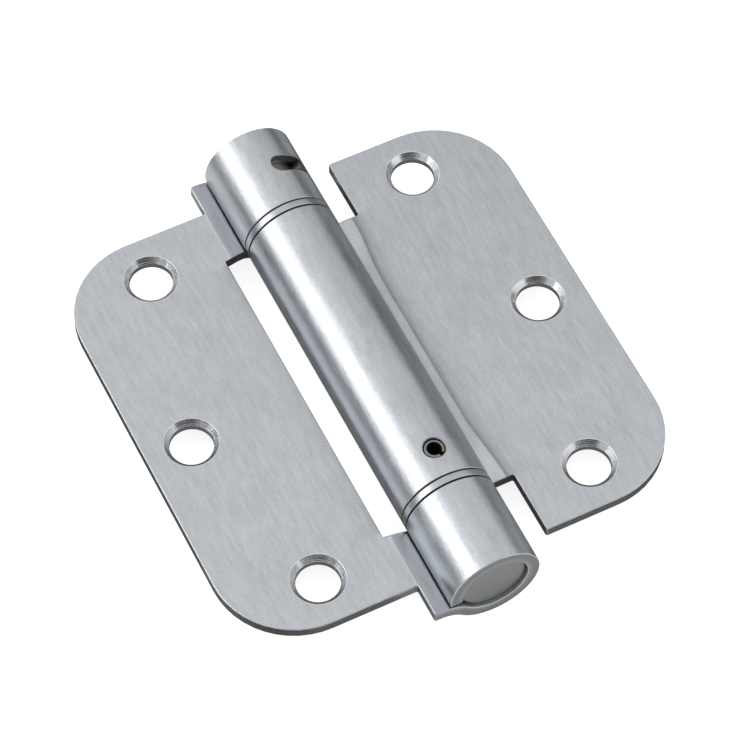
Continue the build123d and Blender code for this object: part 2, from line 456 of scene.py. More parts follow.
@dataclass(frozen=True)
class BentSheet:
    """How a flat blank is bent into a leaf: flat, then the offset bend, then the curl."""

    sizes: HingeSizes
    side: Side

    @property
    def half(self) -> float:
        """Half the sheet's thickness."""
        return self.sizes.sheet / 2

    @property
    def middle(self) -> float:
        """Height of the flat part's middle surface."""
        return -self.sizes.closed_gap / 2 - self.half

    @property
    def swage_centre(self) -> tuple[float, float]:
        """Centre of the offset bend in X and Z, for a leaf on the frame's side."""
        sizes = self.sizes
        z = self.middle - self.half - sizes.swage_radius
        return -math.sqrt((sizes.swage_radius + sizes.barrel_radius) ** 2 - z ** 2), z

    @property
    def meet(self) -> float:
        """Slope of the sheet where the offset bend meets the curl."""
        return math.asin(-self.swage_centre[1] / (self.sizes.swage_radius + self.sizes.barrel_radius))

    @property
    def curl(self) -> float:
        """Angle that the curl turns through."""
        return math.radians(360 + self.sizes.seam_angle) - self.meet

    @property
    def swage_middle(self) -> float:
        """Radius of the offset bend's middle surface."""
        return self.sizes.swage_radius + self.half

    @property
    def barrel_middle(self) -> float:
        """Radius of the curl's middle surface."""
        return self.sizes.barrel_radius - self.half

    @property
    def swage_start(self) -> float:
        """Place along the sheet where the offset bend begins."""
        return self.sizes.reach + self.swage_centre[0]

    @property
    def curl_start(self) -> float:
        """Place along the sheet where the curl begins."""
        return self.swage_start + self.swage_middle * (math.pi / 2 - self.meet)

    @property
    def end(self) -> float:
        """Length of the blank along the sheet."""
        return self.curl_start + self.barrel_middle * self.curl

    def along_at(self, inward: float) -> float:
        """Place along the sheet at a distance from the pin's axis, before the curl.

        Args:
            inward: The distance, seen from above.

        Returns:
            The place along the sheet.
        """
        centre = self.swage_centre[0]
        if inward >= -centre:
            return self.sizes.reach - inward
        return self.swage_start + self.swage_middle * math.asin((-centre - inward) / self.swage_middle)

    def along_at_angle(self, angle: float) -> float:
        """Place along the sheet at an angle round the barrel.

        Args:
            angle: The angle in radians, from the top, away from the leaf's own side.

        Returns:
            The place along the sheet.
        """
        return self.curl_start + self.barrel_middle * (math.pi * 1.5 - angle - self.meet)

    def place(self, along: float, pin: float, through: float) -> tuple[Vector, Vector, Vector]:
        """Real place of a point of the blank.

        Args:
            along: Distance along the sheet from the leaf's outer edge.
            pin: Place along the pin.
            through: Distance from the sheet's middle surface towards its face.

        Returns:
            The point, the direction along the sheet and the direction of its face.
        """
        if along <= self.swage_start:
            x, z = along - self.sizes.reach, self.middle + through
            tangent, up = (1.0, 0.0), (0.0, 1.0)
        elif along <= self.curl_start:
            turn = math.pi / 2 - (along - self.swage_start) / self.swage_middle
            radius = self.swage_middle + through
            x = self.swage_centre[0] + radius * math.cos(turn)
            z = self.swage_centre[1] + radius * math.sin(turn)
            tangent, up = (math.sin(turn), -math.cos(turn)), (math.cos(turn), math.sin(turn))
        else:
            turn = math.pi + self.meet + (along - self.curl_start) / self.barrel_middle
            radius = self.barrel_middle - through
            x, z = radius * math.cos(turn), radius * math.sin(turn)
            tangent, up = (-math.sin(turn), math.cos(turn)), (-math.cos(turn), -math.sin(turn))
        flip = -int(self.side)
        along_sheet = Vector((flip * tangent[0], 0, tangent[1]))
        return Vector((flip * x, pin, z)), along_sheet, Vector((flip * up[0], 0, up[1]))

    def bend_places(self, swage_step: float = 4.0, curl_step: float = 2.5) -> list[float]:
        """Places along the sheet where it has to be divided to bend smoothly.

        Args:
            swage_step: Largest angle of a step in the offset bend, in degrees.
            curl_step: Largest angle of a step in the curl, in degrees.

        Returns:
            The places in order.
        """
        swage = math.ceil(math.degrees(math.pi / 2 - self.meet) / swage_step)
        curl = math.ceil(math.degrees(self.curl) / curl_step)
        places = [self.swage_start + (self.curl_start - self.swage_start) * n / swage for n in range(swage)]
        return places + [self.curl_start + (self.end - self.curl_start) * n / curl for n in range(curl)]


@dataclass(frozen=True)
class ScrewHole:
    """A countersunk hole, with the fine lines that the cutter leaves on its cone."""

    radius: float = 4.1
    sink_radius: float = 5.05
    sink_angle: float = 82.0
    rim_break: float = 0.09
    rim_out: float = 0.25
    rim_down: float = 0.2
    back_break: float = 0.14
    back_steps: int = 2
    grooves: int = 7
    groove_steps: int = 4
    groove_depth: float = 0.0035
    groove_wear: float = 0.25
    throat_drop: float = 0.06
    throat_wear: float = 0.6
    segments: int = 84

    def rings(self, half: float) -> list[tuple[float, float, float, float]]:
        """Rings from the face to the back.

        Args:
            half: Half the sheet's thickness.

        Returns:
            For each ring its radius, its place through the sheet, its normal's lean from the
            hole's axis outwards towards the face, and the worn share.
        """
        slope = math.radians(self.sink_angle / 2)
        depth = (self.sink_radius - self.radius) / math.tan(slope)
        made = [(self.sink_radius + self.rim_break, half, math.pi / 2, 0.0)]
        middle = (math.pi / 2 + slope) / 2
        rim = self.sink_radius + self.rim_break * self.rim_out
        made.append((rim, half - self.rim_break * self.rim_down, middle, 1.0))
        steps = self.groove_steps * self.grooves
        width = math.hypot(self.sink_radius - self.radius, depth)
        for number in range(1, steps):
            share = number / steps
            phase = 2 * math.pi * number / self.groove_steps
            lift = self.groove_depth * math.sin(phase)
            tilt = math.atan(2 * math.pi * self.groove_depth * self.grooves / width * math.cos(phase))
            radius = self.sink_radius + (self.radius - self.sink_radius) * share - lift * math.cos(slope)
            through = half - depth * share + lift * math.sin(slope)
            made.append((radius, through, slope + tilt, self.groove_wear))
        made.append((self.radius, half - depth, slope / 2, self.throat_wear))
        made.append((self.radius, half - depth - self.throat_drop, 0.0, 0.0))
        for lean, outwards, down, wear in quarter_round(-1, self.back_steps):
            radius = self.radius + self.back_break * outwards
            made.append((radius, self.back_break * down - half, lean, wear))
        return made

    def loops(self, along: float, pin: float, half: float) -> list[list[BlankPoint]]:
        """Loops of points round the hole, clockwise as seen on the face.

        Args:
            along: The hole's place along the sheet.
            pin: The hole's place along the pin.
            half: Half the sheet's thickness.

        Returns:
            The loops from the face to the back.
        """
        loops = []
        for radius, through, lean, wear in self.rings(half):
            loop = []
            for number in range(self.segments):
                angle = -2 * math.pi * number / self.segments
                a, p = math.cos(angle), math.sin(angle)
                normal = (-a * math.cos(lean), -p * math.cos(lean), math.sin(lean))
                loop.append(BlankPoint(along + radius * a, pin + radius * p, through, normal, wear, radius))
            loops.append(loop)
        return loops


@dataclass(frozen=True)
class RadialCut:
    """A hole or slot cut towards the pin through a curled knuckle."""

    first: float
    last: float
    pin: float
    radius: float
    bore_break: float
    outer_break: float
    break_steps: int = 3
    segments: int = 24
    side_step: float = 4.0

    def loop(self, sheet: BentSheet, through: float, radius: float, lean: float,
             wear: float) -> list[BlankPoint]:
        """Loop of points round the cut at one depth, clockwise as seen on the bore's side.

        Args:
            sheet: The sheet that it is cut from.
            through: Place through the sheet.
            radius: Half the cut's width there.
            lean: Angle of the normals from the cut's wall towards the bore.
            wear: Worn share of the edge there.

        Returns:
            The loop's points.
        """
        level = sheet.barrel_middle - through
        first, last = math.radians(self.first), math.radians(self.last)
        marks = [(last, math.radians(90 - 180 * n / self.segments)) for n in range(self.segments + 1)]
        spread = max(1, round((self.last - self.first) / self.side_step))
        marks += [(last + (first - last) * n / spread, -math.pi / 2) for n in range(1, spread)]
        numbers = range(self.segments + 1) if self.last > self.first else range(1, self.segments)
        marks += [(first, -math.pi / 2 - math.pi * n / self.segments) for n in numbers]
        marks += [(first + (last - first) * n / spread, math.pi / 2) for n in range(1, spread)]
        loop = []
        for centre, turn in marks:
            across = radius * math.cos(turn)
            angle = centre + math.asin(across / level)
            flat = math.cos(turn)
            wall = Vector((-flat * math.cos(centre), -math.sin(turn), flat * math.sin(centre)))
            out = Vector((math.sin(angle), 0, math.cos(angle)))
            along = Vector((-math.cos(angle), 0, math.sin(angle)))
            normal = wall * math.cos(lean) - out * math.sin(lean)
            local = (normal.dot(along), normal.y, -normal.dot(out))
            loop.append(BlankPoint(
                sheet.along_at_angle(angle), self.pin + radius * math.sin(turn), through, local, wear))
        area = sum(a.along * b.pin - b.along * a.pin for a, b in zip(loop, loop[1:] + loop[:1]))
        return loop if area < 0 else loop[::-1]

    def loops(self, sheet: BentSheet) -> list[list[BlankPoint]]:
        """Loops from the bore to the outside of the barrel.

        Args:
            sheet: The sheet that it is cut from.

        Returns:
            The loops in order.
        """
        made = []
        for side, edge in ((1, self.bore_break), (-1, self.outer_break)):
            for lean, outwards, down, wear in quarter_round(side, self.break_steps):
                through = side * (sheet.half - edge * down)
                made.append(self.loop(sheet, through, self.radius + edge * outwards, lean, wear))
        return made


@dataclass
class Leaf:
    """A leaf with its curled knuckles, made from one sheet."""

    name: str
    body: str
    side: Side
    sizes: HingeSizes
    materials: Sequence[bpy.types.Material]
    corner_radius: float = 15.875
    small_corner: float = 0.4
    inner_corner: float = 0.3
    face_edge: float = 0.24
    back_edge: float = 0.15
    back_wear: float = 0.5
    bore_edge: float = 0.05
    free_end_edge: float = 0.17
    free_end_wear: float = 0.35
    joint_edge: float = 0.16
    notch_way: float = 4.3
    notch_splay: float = 0.65
    tab_width: float = 3.15
    relief_way: float = 5.0
    end_screw_from_edge: float = 17.25
    end_screw_from_end: float = 8.95
    middle_screw_from_edge: float = 9.05

    @property
    def sheet(self) -> BentSheet:
        """The bent sheet that the leaf is."""
        return BentSheet(self.sizes, self.side)

    def outline(self) -> list[OutlinePoint]:
        """Outline of the flat blank, anticlockwise from the leaf's lower outer corner."""
        sizes, sheet = self.sizes, self.sheet
        top = sizes.half_height
        small, inner = self.small_corner, self.inner_corner
        if self.side is Side.FRAME:
            tab = sheet.along_at(sizes.barrel_radius + self.tab_width)
            notch = sheet.along_at(sizes.barrel_radius + self.notch_way)
            neck = sheet.along_at(sizes.barrel_radius)
            start, end = sizes.end_knuckle_start, sizes.half_barrel
            upper = [
                Corner(notch, start - self.notch_splay, inner), Corner(neck, start, small),
                Corner(sheet.end, start, small), Corner(sheet.end, end, small),
                Corner(tab, end, small), Corner(tab, top, inner),
            ]
        else:
            relief = sheet.along_at(sizes.barrel_radius + self.relief_way)
            centre = sizes.half_centre
            upper = [
                Corner(sheet.end, centre, small), Corner(relief, centre, inner), Corner(relief, top, small)]
        upper.append(Corner(0.0, top, self.corner_radius))
        lower = [Corner(c.along, -c.pin, c.radius) for c in reversed(upper)]
        return rounded_outline(lower + upper)

    def face_round(self, point: OutlinePoint) -> EdgeRound:
        """Edge on the face's side, which is the bore's side in a knuckle."""
        if point.along < self.sheet.swage_start:
            return EdgeRound(self.face_edge)
        return EdgeRound(self.bore_edge, 0.0)

    def back_round(self, point: OutlinePoint) -> EdgeRound:
        """Edge on the back, which is the barrel's outside in a knuckle."""
        if point.along < self.sheet.curl_start:
            return EdgeRound(self.back_edge, self.back_wear)
        if abs(point.pin) > self.sizes.half_barrel - self.free_end_edge:
            return EdgeRound(self.free_end_edge, self.free_end_wear)
        return EdgeRound(self.joint_edge, 0.0)

    def screw_places(self) -> list[tuple[float, float]]:
        """Places of the screw holes on the blank."""
        end, inwards = self.sizes.half_height - self.end_screw_from_end, self.end_screw_from_edge
        return [(inwards, end), (inwards, -end), (self.middle_screw_from_edge, 0.0)]

    def cuts(self) -> list[RadialCut]:
        """Holes through the knuckles."""
        return []

    def build(self) -> bpy.types.Object:
        """Make the leaf in place of its plain solid.

        Returns:
            The leaf's object.
        """
        sheet, half = self.sheet, self.sheet.half
        blank = BlankMesh()
        sides, wall_top, wall_foot = rounded_sides(self.outline(), half, self.face_round, self.back_round)
        loops = [blank.loop(points, half) for points in sides]
        satin, cut_edge = SheetFace.SATIN, SheetFace.CUT_EDGE
        blank.wall(loops[:wall_top + 1], lambda s: satin if s < sheet.swage_start else cut_edge)
        blank.wall(loops[wall_top:wall_foot + 1], lambda s: cut_edge)
        blank.wall(loops[wall_foot:], lambda s: satin)
        hole = ScrewHole()
        holes = [(hole.loops(along, pin, half), SheetFace.TURNED) for along, pin in self.screw_places()]
        holes += [(cut.loops(sheet), cut_edge) for cut in self.cuts()]
        rims = []
        for hole_loops, finish in holes:
            rings = [blank.loop(points, half) for points in hole_loops]
            blank.wall(rings, lambda s: finish)
            rims.append(rings)
        blank.cap(loops[0], [rings[0] for rings in rims], True, satin)
        blank.cap(loops[-1], [rings[-1] for rings in rims], False, satin)
        blank.cut_along(sheet.bend_places())
        made = blank.finish(self.name, sheet.place, self.side is Side.DOOR, self.materials)
        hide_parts(self.body)
        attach(made, self.body)
        return made


@dataclass
class FrameLeaf(Leaf):
    """Leaf with the two end knuckles and the adjusting slot."""

    slot_width: float = 3.6
    slot_from_end: float = 8.8
    slot_first: float = 20.0
    slot_last: float = 64.0
    slot_bore_break: float = 0.08
    slot_break: float = 0.2

    @property
    def slot_place(self) -> float:
        """The slot's place along the pin."""
        return self.sizes.half_barrel - self.slot_from_end

    def cuts(self) -> list[RadialCut]:
        """The adjusting slot, part of the way round the far end knuckle."""
        return [RadialCut(self.slot_first, self.slot_last, self.slot_place, self.slot_width / 2,
                          self.slot_bore_break, self.slot_break)]


@dataclass
class DoorLeaf(Leaf):
    """Leaf with the long centre knuckle and the roll pin's hole."""

    pin_hole_radius: float = 2.06
    pin_hole_bore_break: float = 0.05
    pin_hole_break: float = 0.2
    pin_from_knuckle_end: float = 5.8
    pin_angle: float = 3.5

    @property
    def pin_place(self) -> float:
        """The roll pin's place along the hinge's pin."""
        return -self.sizes.half_centre + self.pin_from_knuckle_end

    def cuts(self) -> list[RadialCut]:
        """The roll pin's hole through the top of the knuckle, seen from the leaf's own side."""
        return [RadialCut(-self.pin_angle, -self.pin_angle, self.pin_place, self.pin_hole_radius,
                          self.pin_hole_bore_break, self.pin_hole_break)]


@dataclass(frozen=True)
class RadialFrame:
    """Axes of a pin that points out of the barrel."""

    angle: float
    pin: float
    middle: float

    def place(self, along: float, pin: float, through: float) -> tuple[Vector, Vector, Vector]:
        """Real place of a point of the pin.

        Args:
            along: Distance round the barrel from the pin's axis.
            pin: Distance along the barrel from the pin's axis.
            through: Distance outwards from the pin's middle.

        Returns:
            The point, the direction round the barrel and the direction outwards.
        """
        turn = math.radians(self.angle)
        out = Vector((math.sin(turn), 0, math.cos(turn)))
        round_it = Vector((math.cos(turn), 0, -math.sin(turn)))
        point = out * (self.middle + through) + round_it * along + Vector((0, self.pin + pin, 0))
        return point, round_it, out


@dataclass
class BarrelPin:
    """A pin that stands towards the barrel's axis."""

    name: str
    node: str
    body: str
    material: bpy.types.Material
    angle: float
    pin: float
    radius: float
    inner_end: float
    outer_end: float
    edge: float
    segments: int = 64

    def outer_round(self, point: OutlinePoint) -> EdgeRound:
        """Edge of the end that shows."""
        return EdgeRound(self.edge)

    def inner_round(self, point: OutlinePoint) -> EdgeRound:
        """Edge of the hidden end."""
        return EdgeRound(self.edge)

    def outline(self) -> list[OutlinePoint]:
        """Section of the pin."""
        return arc(0, 0, self.radius, 0, 360, self.segments)

    def build(self) -> bpy.types.Object:
        """Make the pin in place of its plain solid.

        Returns:
            The pin's object.
        """
        half = (self.outer_end - self.inner_end) / 2
        blank = BlankMesh()
        sides, _, _ = rounded_sides(self.outline(), half, self.outer_round, self.inner_round)
        loops = [blank.loop(points, half) for points in sides]
        blank.wall(loops, lambda s: 0)
        blank.cap(loops[0], [], True, 0)
        blank.cap(loops[-1], [], False, 0)
        axes = RadialFrame(self.angle, self.pin, self.inner_end + half)
        made = blank.finish(self.name, axes.place, False, [self.material])
        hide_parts(self.node)
        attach(made, self.body)
        return made


@dataclass
class RollPin(BarrelPin):
    """Slit tube of spring steel."""

    wall: float = 0.47
    slit: float = 0.8
    slit_turn: float = -60.0
    lip: float = 0.17
    bore_edge: float = 0.06
    outside_steps: int = 60
    bore_steps: int = 44
    lip_steps: int = 4

    def outer_round(self, point: OutlinePoint) -> EdgeRound:
        """Edge of the end that shows, which is broken less in the bore."""
        outside = math.hypot(point.along, point.pin) > self.radius - self.wall / 2
        return EdgeRound(self.edge if outside else self.bore_edge, 0.0)

    def outline(self) -> list[OutlinePoint]:
        """Section of the tube: outside, one lip of the slit, inside, the other lip."""
        reach = self.slit / 2 + self.lip
        outer, inner = self.radius - self.lip, self.radius - self.wall + self.lip
        outer_open = math.degrees(math.asin(reach / outer))
        inner_open = math.degrees(math.asin(reach / inner))
        start, end, lip, steps = self.slit_turn, self.slit_turn + 360.0, self.lip, self.lip_steps
        points = arc(0, 0, self.radius, start + outer_open, end - outer_open, self.outside_steps)
        points += corner_arc(outer, end - outer_open, lip, end - outer_open, end + 90, steps)
        points += corner_arc(inner, end - inner_open, lip, end + 90, end + 180 - inner_open, steps)
        hollow = arc(0, 0, self.radius - self.wall, end - inner_open, start + inner_open, self.bore_steps)
        points += [OutlinePoint(p.along, p.pin, -p.out_along, -p.out_pin) for p in hollow]
        points += corner_arc(inner, start + inner_open, lip, start + 180 + inner_open, start + 270, steps)
        return points + corner_arc(outer, start + outer_open, lip, start - 90, start + outer_open, steps)


class TreeKind(Enum):
    """What a node group works on."""

    SHADER = "ShaderNodeTree"
    GEOMETRY = "GeometryNodeTree"


class Socket(Enum):
    """What passes through an input or output of a node group."""

    FLOAT = "NodeSocketFloat"
    WHOLE = "NodeSocketInt"
    VECTOR = "NodeSocketVector"
    COLOUR = "NodeSocketColor"
    GEOMETRY = "NodeSocketGeometry"


@dataclass(frozen=True)
class Port:
    """An input or output of a node group."""

    name: str
    kind: Socket = Socket.FLOAT
    default: Any = None


class Graph:
    """A node tree being built, with short ways to add and join nodes."""

    def __init__(self, tree: bpy.types.NodeTree) -> None:
        """Work on a tree.

        Args:
            tree: The tree that the nodes go into.
        """
        self.tree = tree

    def add(self, kind: str, inputs: dict[Any, Any] | None = None, **settings: Any) -> bpy.types.Node:
        """Add a node.

        Args:
            kind: Blender's name of the node's type.
            inputs: Sockets or constants for its inputs, by name or number.
            **settings: The node's own properties.

        Returns:
            The node.
        """
        node = self.tree.nodes.new(kind)
        for name, value in settings.items():
            setattr(node, name, value)
        for key, value in (inputs or {}).items():
            self.feed(value, node.inputs[key])
        return node

    def feed(self, value: Any, socket: bpy.types.NodeSocket) -> None:
        """Give an input a link or a constant.

        Args:
            value: An output socket or a constant.
            socket: The input.
        """
        if isinstance(value, bpy.types.NodeSocket):
            self.tree.links.new(value, socket)
        else:
            socket.default_value = value

    def math(self, operation: str, *values: Any) -> bpy.types.NodeSocket:
        """Add a Math node and return its result."""
        return self.add("ShaderNodeMath", dict(enumerate(values)), operation=operation).outputs[0]

    def plus(self, first: Any, *others: Any) -> bpy.types.NodeSocket:
        """Add values up, one after another."""
        for other in others:
            first = self.math("ADD", first, other)
        return first

    def minus(self, first: Any, second: Any) -> bpy.types.NodeSocket:
        """Take one value from another."""
        return self.math("SUBTRACT", first, second)

    def times(self, first: Any, second: Any) -> bpy.types.NodeSocket:
        """Multiply two values."""
        return self.math("MULTIPLY", first, second)

    def weighed(self, share: float, first: Any, second: Any) -> bpy.types.NodeSocket:
        """Sum of two values, the first with a share and the second with the rest."""
        return self.plus(self.times(first, share), self.times(second, 1.0 - share))

    def blend(self, share: Any, first: Any, second: Any) -> bpy.types.NodeSocket:
        """Mix two colours by a share and return the result."""
        node = self.add("ShaderNodeMix", {0: share, 6: first, 7: second}, data_type="RGBA")
        return node.outputs[2]

    def span(self, value: Any, low: float, high: float, to_low: float,
             to_high: float) -> bpy.types.NodeSocket:
        """Map a value from one span to another, held at both ends, and return the result."""
        node = self.add("ShaderNodeMapRange", {0: value, 1: low, 2: high, 3: to_low, 4: to_high})
        return node.outputs[0]

    def noise(self, place: Any, scale: Any, detail: float, roughness: float = 0.5) -> bpy.types.NodeSocket:
        """Add a noise texture and return its value."""
        node = self.add("ShaderNodeTexNoise", {
            "Vector": place, "Scale": scale, "Detail": detail, "Roughness": roughness})
        return node.outputs[0]

    def parts(self, vector: Any) -> bpy.types.bpy_prop_collection:
        """Take a vector apart and return its three values."""
        return self.add("ShaderNodeSeparateXYZ", {0: vector}).outputs

    def joined(self, values: dict[int, Any]) -> bpy.types.NodeSocket:
        """Make a vector of values, given by their places in it."""
        return self.add("ShaderNodeCombineXYZ", values).outputs[0]

    def group(self, tree: bpy.types.NodeTree, inputs: dict[str, Any]) -> Any:
        """Put a group into the tree.

        Args:
            tree: The group.
            inputs: Sockets or constants for its inputs.

        Returns:
            The group's outputs.
        """
        node = self.add("ShaderNodeGroup", node_tree=tree)
        for name, value in inputs.items():
            self.feed(value, node.inputs[name])
        return node.outputs


def new_group(name: str, kind: TreeKind, inputs: Sequence[Port],
              outputs: Sequence[Port]) -> tuple[Graph, Any, Any]:
    """Start a node group with named inputs and outputs.

    Args:
        name: The group's name.
        kind: What it works on.
        inputs: Its inputs.
        outputs: Its outputs.

    Returns:
        The group's graph, the sockets that its inputs come from and those that its outputs go to.
    """
    tree = bpy.data.node_groups.new(name, kind.value)
    for way, ports in (("INPUT", inputs), ("OUTPUT", outputs)):
        for port in ports:
            socket = tree.interface.new_socket(port.name, in_out=way, socket_type=port.kind.value)
            if port.default is not None:
                socket.default_value = port.default
    graph = Graph(tree)
    return graph, graph.add("NodeGroupInput").outputs, graph.add("NodeGroupOutput").inputs


def satin_grain_group() -> bpy.types.NodeTree:
    """Fine grain of a satin plated surface, drawn out along one direction.

    Returns:
        A group from a place in metres to a tone, a roughness and a height mask.
    """
    fine_scale, line_scale = 1.3, 0.55
    graph, start, end = new_group(
        "satin grain", TreeKind.SHADER,
        [Port("Place", Socket.VECTOR), Port("Grain", default=2300.0), Port("Drawn", default=0.18),
         Port("Cloud", default=120.0)],
        [Port("Tone"), Port("Rough"), Port("Height")])
    place, grain = start["Place"], start["Grain"]
    drawn = graph.joined({0: 1.0, 1: start["Drawn"], 2: 1.0})
    stretched = graph.add("ShaderNodeVectorMath", {0: place, 1: drawn}, operation="MULTIPLY").outputs[0]
    fine = graph.noise(place, graph.times(grain, fine_scale), 2.0, 0.6)
    lines = graph.noise(stretched, graph.times(grain, line_scale), 2.0, 0.65)
    cloud = graph.noise(place, start["Cloud"], 3.0)
    graph.feed(graph.weighed(0.2, cloud, graph.weighed(0.4, fine, lines)), end["Tone"])
    graph.feed(graph.weighed(0.5, lines, cloud), end["Rough"])
    graph.feed(graph.weighed(0.8, fine, lines), end["Height"])
    return graph.tree


def turned_lines_group() -> bpy.types.NodeTree:
    """Fine lines that a cutting tool leaves round an axis.

    Returns:
        A group from a distance from the axis to a height and a tone mask.
    """
    patch_scale, faintest = 900.0, 0.7
    graph, start, end = new_group(
        "turned lines", TreeKind.SHADER,
        [Port("Distance"), Port("Place", Socket.VECTOR), Port("Pitch", default=0.0001)],
        [Port("Height"), Port("Tone")])
    steps = graph.math("DIVIDE", start["Distance"], start["Pitch"])
    uneven = graph.add("ShaderNodeTexNoise", {"W": steps, "Scale": 1.0, "Detail": 2.0, "Roughness": 0.7},
                       noise_dimensions="1D").outputs[0]
    broken = graph.noise(start["Place"], patch_scale, 1.0)
    graph.feed(graph.times(uneven, graph.span(broken, 0.3, 0.7, faintest, 1.0)), end["Height"])
    graph.feed(uneven, end["Tone"])
    return graph.tree


def edge_shine_group() -> bpy.types.NodeTree:
    """Brighter, smoother metal where a worn edge is rubbed.

    Returns:
        A group from a colour, a roughness and a worn share to a colour and a roughness.
    """
    patch_scale, least, most, rubbed_rough = 350.0, 0.15, 0.7, 0.6
    graph, start, end = new_group(
        "edge shine", TreeKind.SHADER,
        [Port("Color", Socket.COLOUR), Port("Rough"), Port("Worn"), Port("Place", Socket.VECTOR),
         Port("Bright", Socket.COLOUR, (0.58, 0.6, 0.62, 1.0))],
        [Port("Color", Socket.COLOUR), Port("Rough")])
    patchy = graph.noise(start["Place"], patch_scale, 3.0)
    share = graph.times(start["Worn"], graph.span(patchy, 0.3, 0.65, least, most))
    graph.feed(graph.blend(share, start["Color"], start["Bright"]), end["Color"])
    graph.feed(graph.times(start["Rough"], graph.span(share, 0.0, 1.0, 1.0, rubbed_rough)), end["Rough"])
    return graph.tree


@dataclass(frozen=True)
class Ramp:
    """A smooth rise from nothing to a height, between two places in millimetres."""

    start: float
    end: float
    height: float = 1.0

    def over(self, graph: Graph, value: Any) -> bpy.types.NodeSocket:
        """Follow a value up the ramp.

        Args:
            graph: The tree's graph.
            value: The value, in metres.

        Returns:
            The risen height.
        """
        node = graph.add("ShaderNodeMapRange", {
            0: value, 1: self.start * MM, 2: self.end * MM, 3: 0.0, 4: self.height},
            interpolation_type="SMOOTHSTEP")
        return node.outputs[0]


@dataclass(frozen=True)
class PressedCrease:
    """Ridge that the bending tool's edge leaves along the sheet beside the offset bend.

    The line lies at a distance from the pin's axis and bows out towards the knuckle's ends. The
    ramps across it start from the line, and those along it from the barrel's middle. Beside the
    line, painted shade darkens the plate's colour in place of the barrel's shadow and the sheet's
    curving: most on the outer side, less past the crest on the door leaf, some at the necks.
    """

    line: float = 11.25
    bow: Ramp = Ramp(16.0, 31.0, 1.15 * MM)
    bow_back: Ramp = Ramp(31.5, 33.5, -0.5 * MM)
    rise: Ramp = Ramp(-2.5, 0.0, 0.03 * MM)
    last_rise: Ramp = Ramp(-0.42, 0.0, 0.05 * MM)
    fall: Ramp = Ramp(0.0, 2.1, -0.15 * MM)
    knuckle_end: Ramp = Ramp(31.5, 32.5, -1.0)
    wide_shade: Ramp = Ramp(-6.0, -1.0, 0.1)
    near_shade: Ramp = Ramp(-2.6, 0.0, 0.14)
    line_shade: Ramp = Ramp(-1.3, -0.1, 0.19)
    crest: Ramp = Ramp(-0.1, 0.22)
    crest_painted_shade_cut: float = -0.3
    more_painted_shade_cut: Ramp = Ramp(20.0, 26.0, -0.13)
    neck_shade: float = 0.16
    fade: float = 0.4

    def group(self) -> bpy.types.NodeTree:
        """Build the crease's group.

        Returns:
            A group from a place on the blank to a height in metres and the share of painted shade that
            darkens it.
        """
        graph, start, end = new_group(
            "pressed crease", TreeKind.SHADER,
            [Port("Blank Place", Socket.VECTOR), Port("Reach", default=0.04445),
             Port("Curl Start", default=0.04)],
            [Port("Height"), Port("Painted Shade")])
        along, across, _ = graph.parts(start["Blank Place"])
        pin = graph.math("ABSOLUTE", across)
        straight = graph.minus(start["Reach"], self.line * MM)
        line = graph.minus(straight, graph.plus(self.bow.over(graph, pin), self.bow_back.over(graph, pin)))
        past = graph.minus(along, line)
        ridge = [ramp.over(graph, past) for ramp in (self.rise, self.last_rise, self.fall)]
        graph.feed(graph.plus(*ridge), end["Height"])
        # Painted shade: the colour is darkened most on the outer side of the line, less past the crest on the
        # door leaf, a little at the frame leaf's necks, and not in the curl.
        on_door = graph.plus(self.knuckle_end.over(graph, pin), 1.0)
        painted_crease_shade = [ramp.over(graph, past) for ramp in (self.wide_shade, self.near_shade, self.line_shade)]
        over = self.crest.over(graph, past)
        shine = graph.times(over, graph.plus(self.more_painted_shade_cut.over(graph, pin), self.crest_painted_shade_cut))
        beside_centre = graph.times(on_door, graph.plus(*painted_crease_shade, shine))
        beside_end = graph.times(graph.minus(1.0, on_door), graph.times(over, self.neck_shade))
        shade = graph.math("MAXIMUM", graph.plus(beside_centre, beside_end), 0.0)
        flat = graph.span(graph.minus(along, start["Curl Start"]), -self.fade * MM, 0.0, 1.0, 0.0)
        graph.feed(graph.times(shade, flat), end["Painted Shade"])
        return graph.tree


class Effects:
    """Shader groups that the finishes share, each built once."""

    def __init__(self) -> None:
        """Build the groups."""
        self.grain = satin_grain_group()
        self.turned = turned_lines_group()
        self.shine = edge_shine_group()
        self.crease = PressedCrease().group()


class MetalGraph(Graph):
    """The node tree of a new metal material."""

    def __init__(self, name: str) -> None:
        """Start the material.

        Args:
            name: The material's name.
        """
        self.material = bpy.data.materials.new(name)
        self.material.use_nodes = True
        super().__init__(self.material.node_tree)
        self.shader = self.tree.nodes["Principled BSDF"].inputs
        self.shader["Metallic"].default_value = 1.0

    def place(self) -> bpy.types.NodeSocket:
        """Object coordinates, in metres."""
        return self.add("ShaderNodeTexCoord").outputs["Object"]

    def attribute(self, name: str, output: str = "Fac") -> bpy.types.NodeSocket:
        """An attribute of the mesh."""
        node = self.add("ShaderNodeAttribute", attribute_name=name, attribute_type="GEOMETRY")
        return node.outputs[output]

    def tones(self, mask: Any, low: float, high: float, dark: Colour,
              light: Colour) -> bpy.types.NodeSocket:
        """Mix two tones by where a mask stands between two values."""
        return self.blend(self.span(mask, low, high, 0.0, 1.0), (*dark, 1), (*light, 1))

    def bump(self, height: Any, distance: float,
             under: bpy.types.NodeSocket | None = None) -> bpy.types.NodeSocket:
        """Normal of a height, laid over another bumped normal if one is given."""
        inputs = {"Height": height, "Strength": 1.0, "Distance": distance}
        if under is not None:
            inputs["Normal"] = under
        return self.add("ShaderNodeBump", inputs).outputs[0]

    def finish(self, colour: Any, rough: Any, normal: Any) -> bpy.types.Material:
        """Feed the surface and return the material."""
        self.feed(colour, self.shader["Base Color"])
        self.feed(rough, self.shader["Roughness"])
        self.feed(normal, self.shader["Normal"])
        return self.material


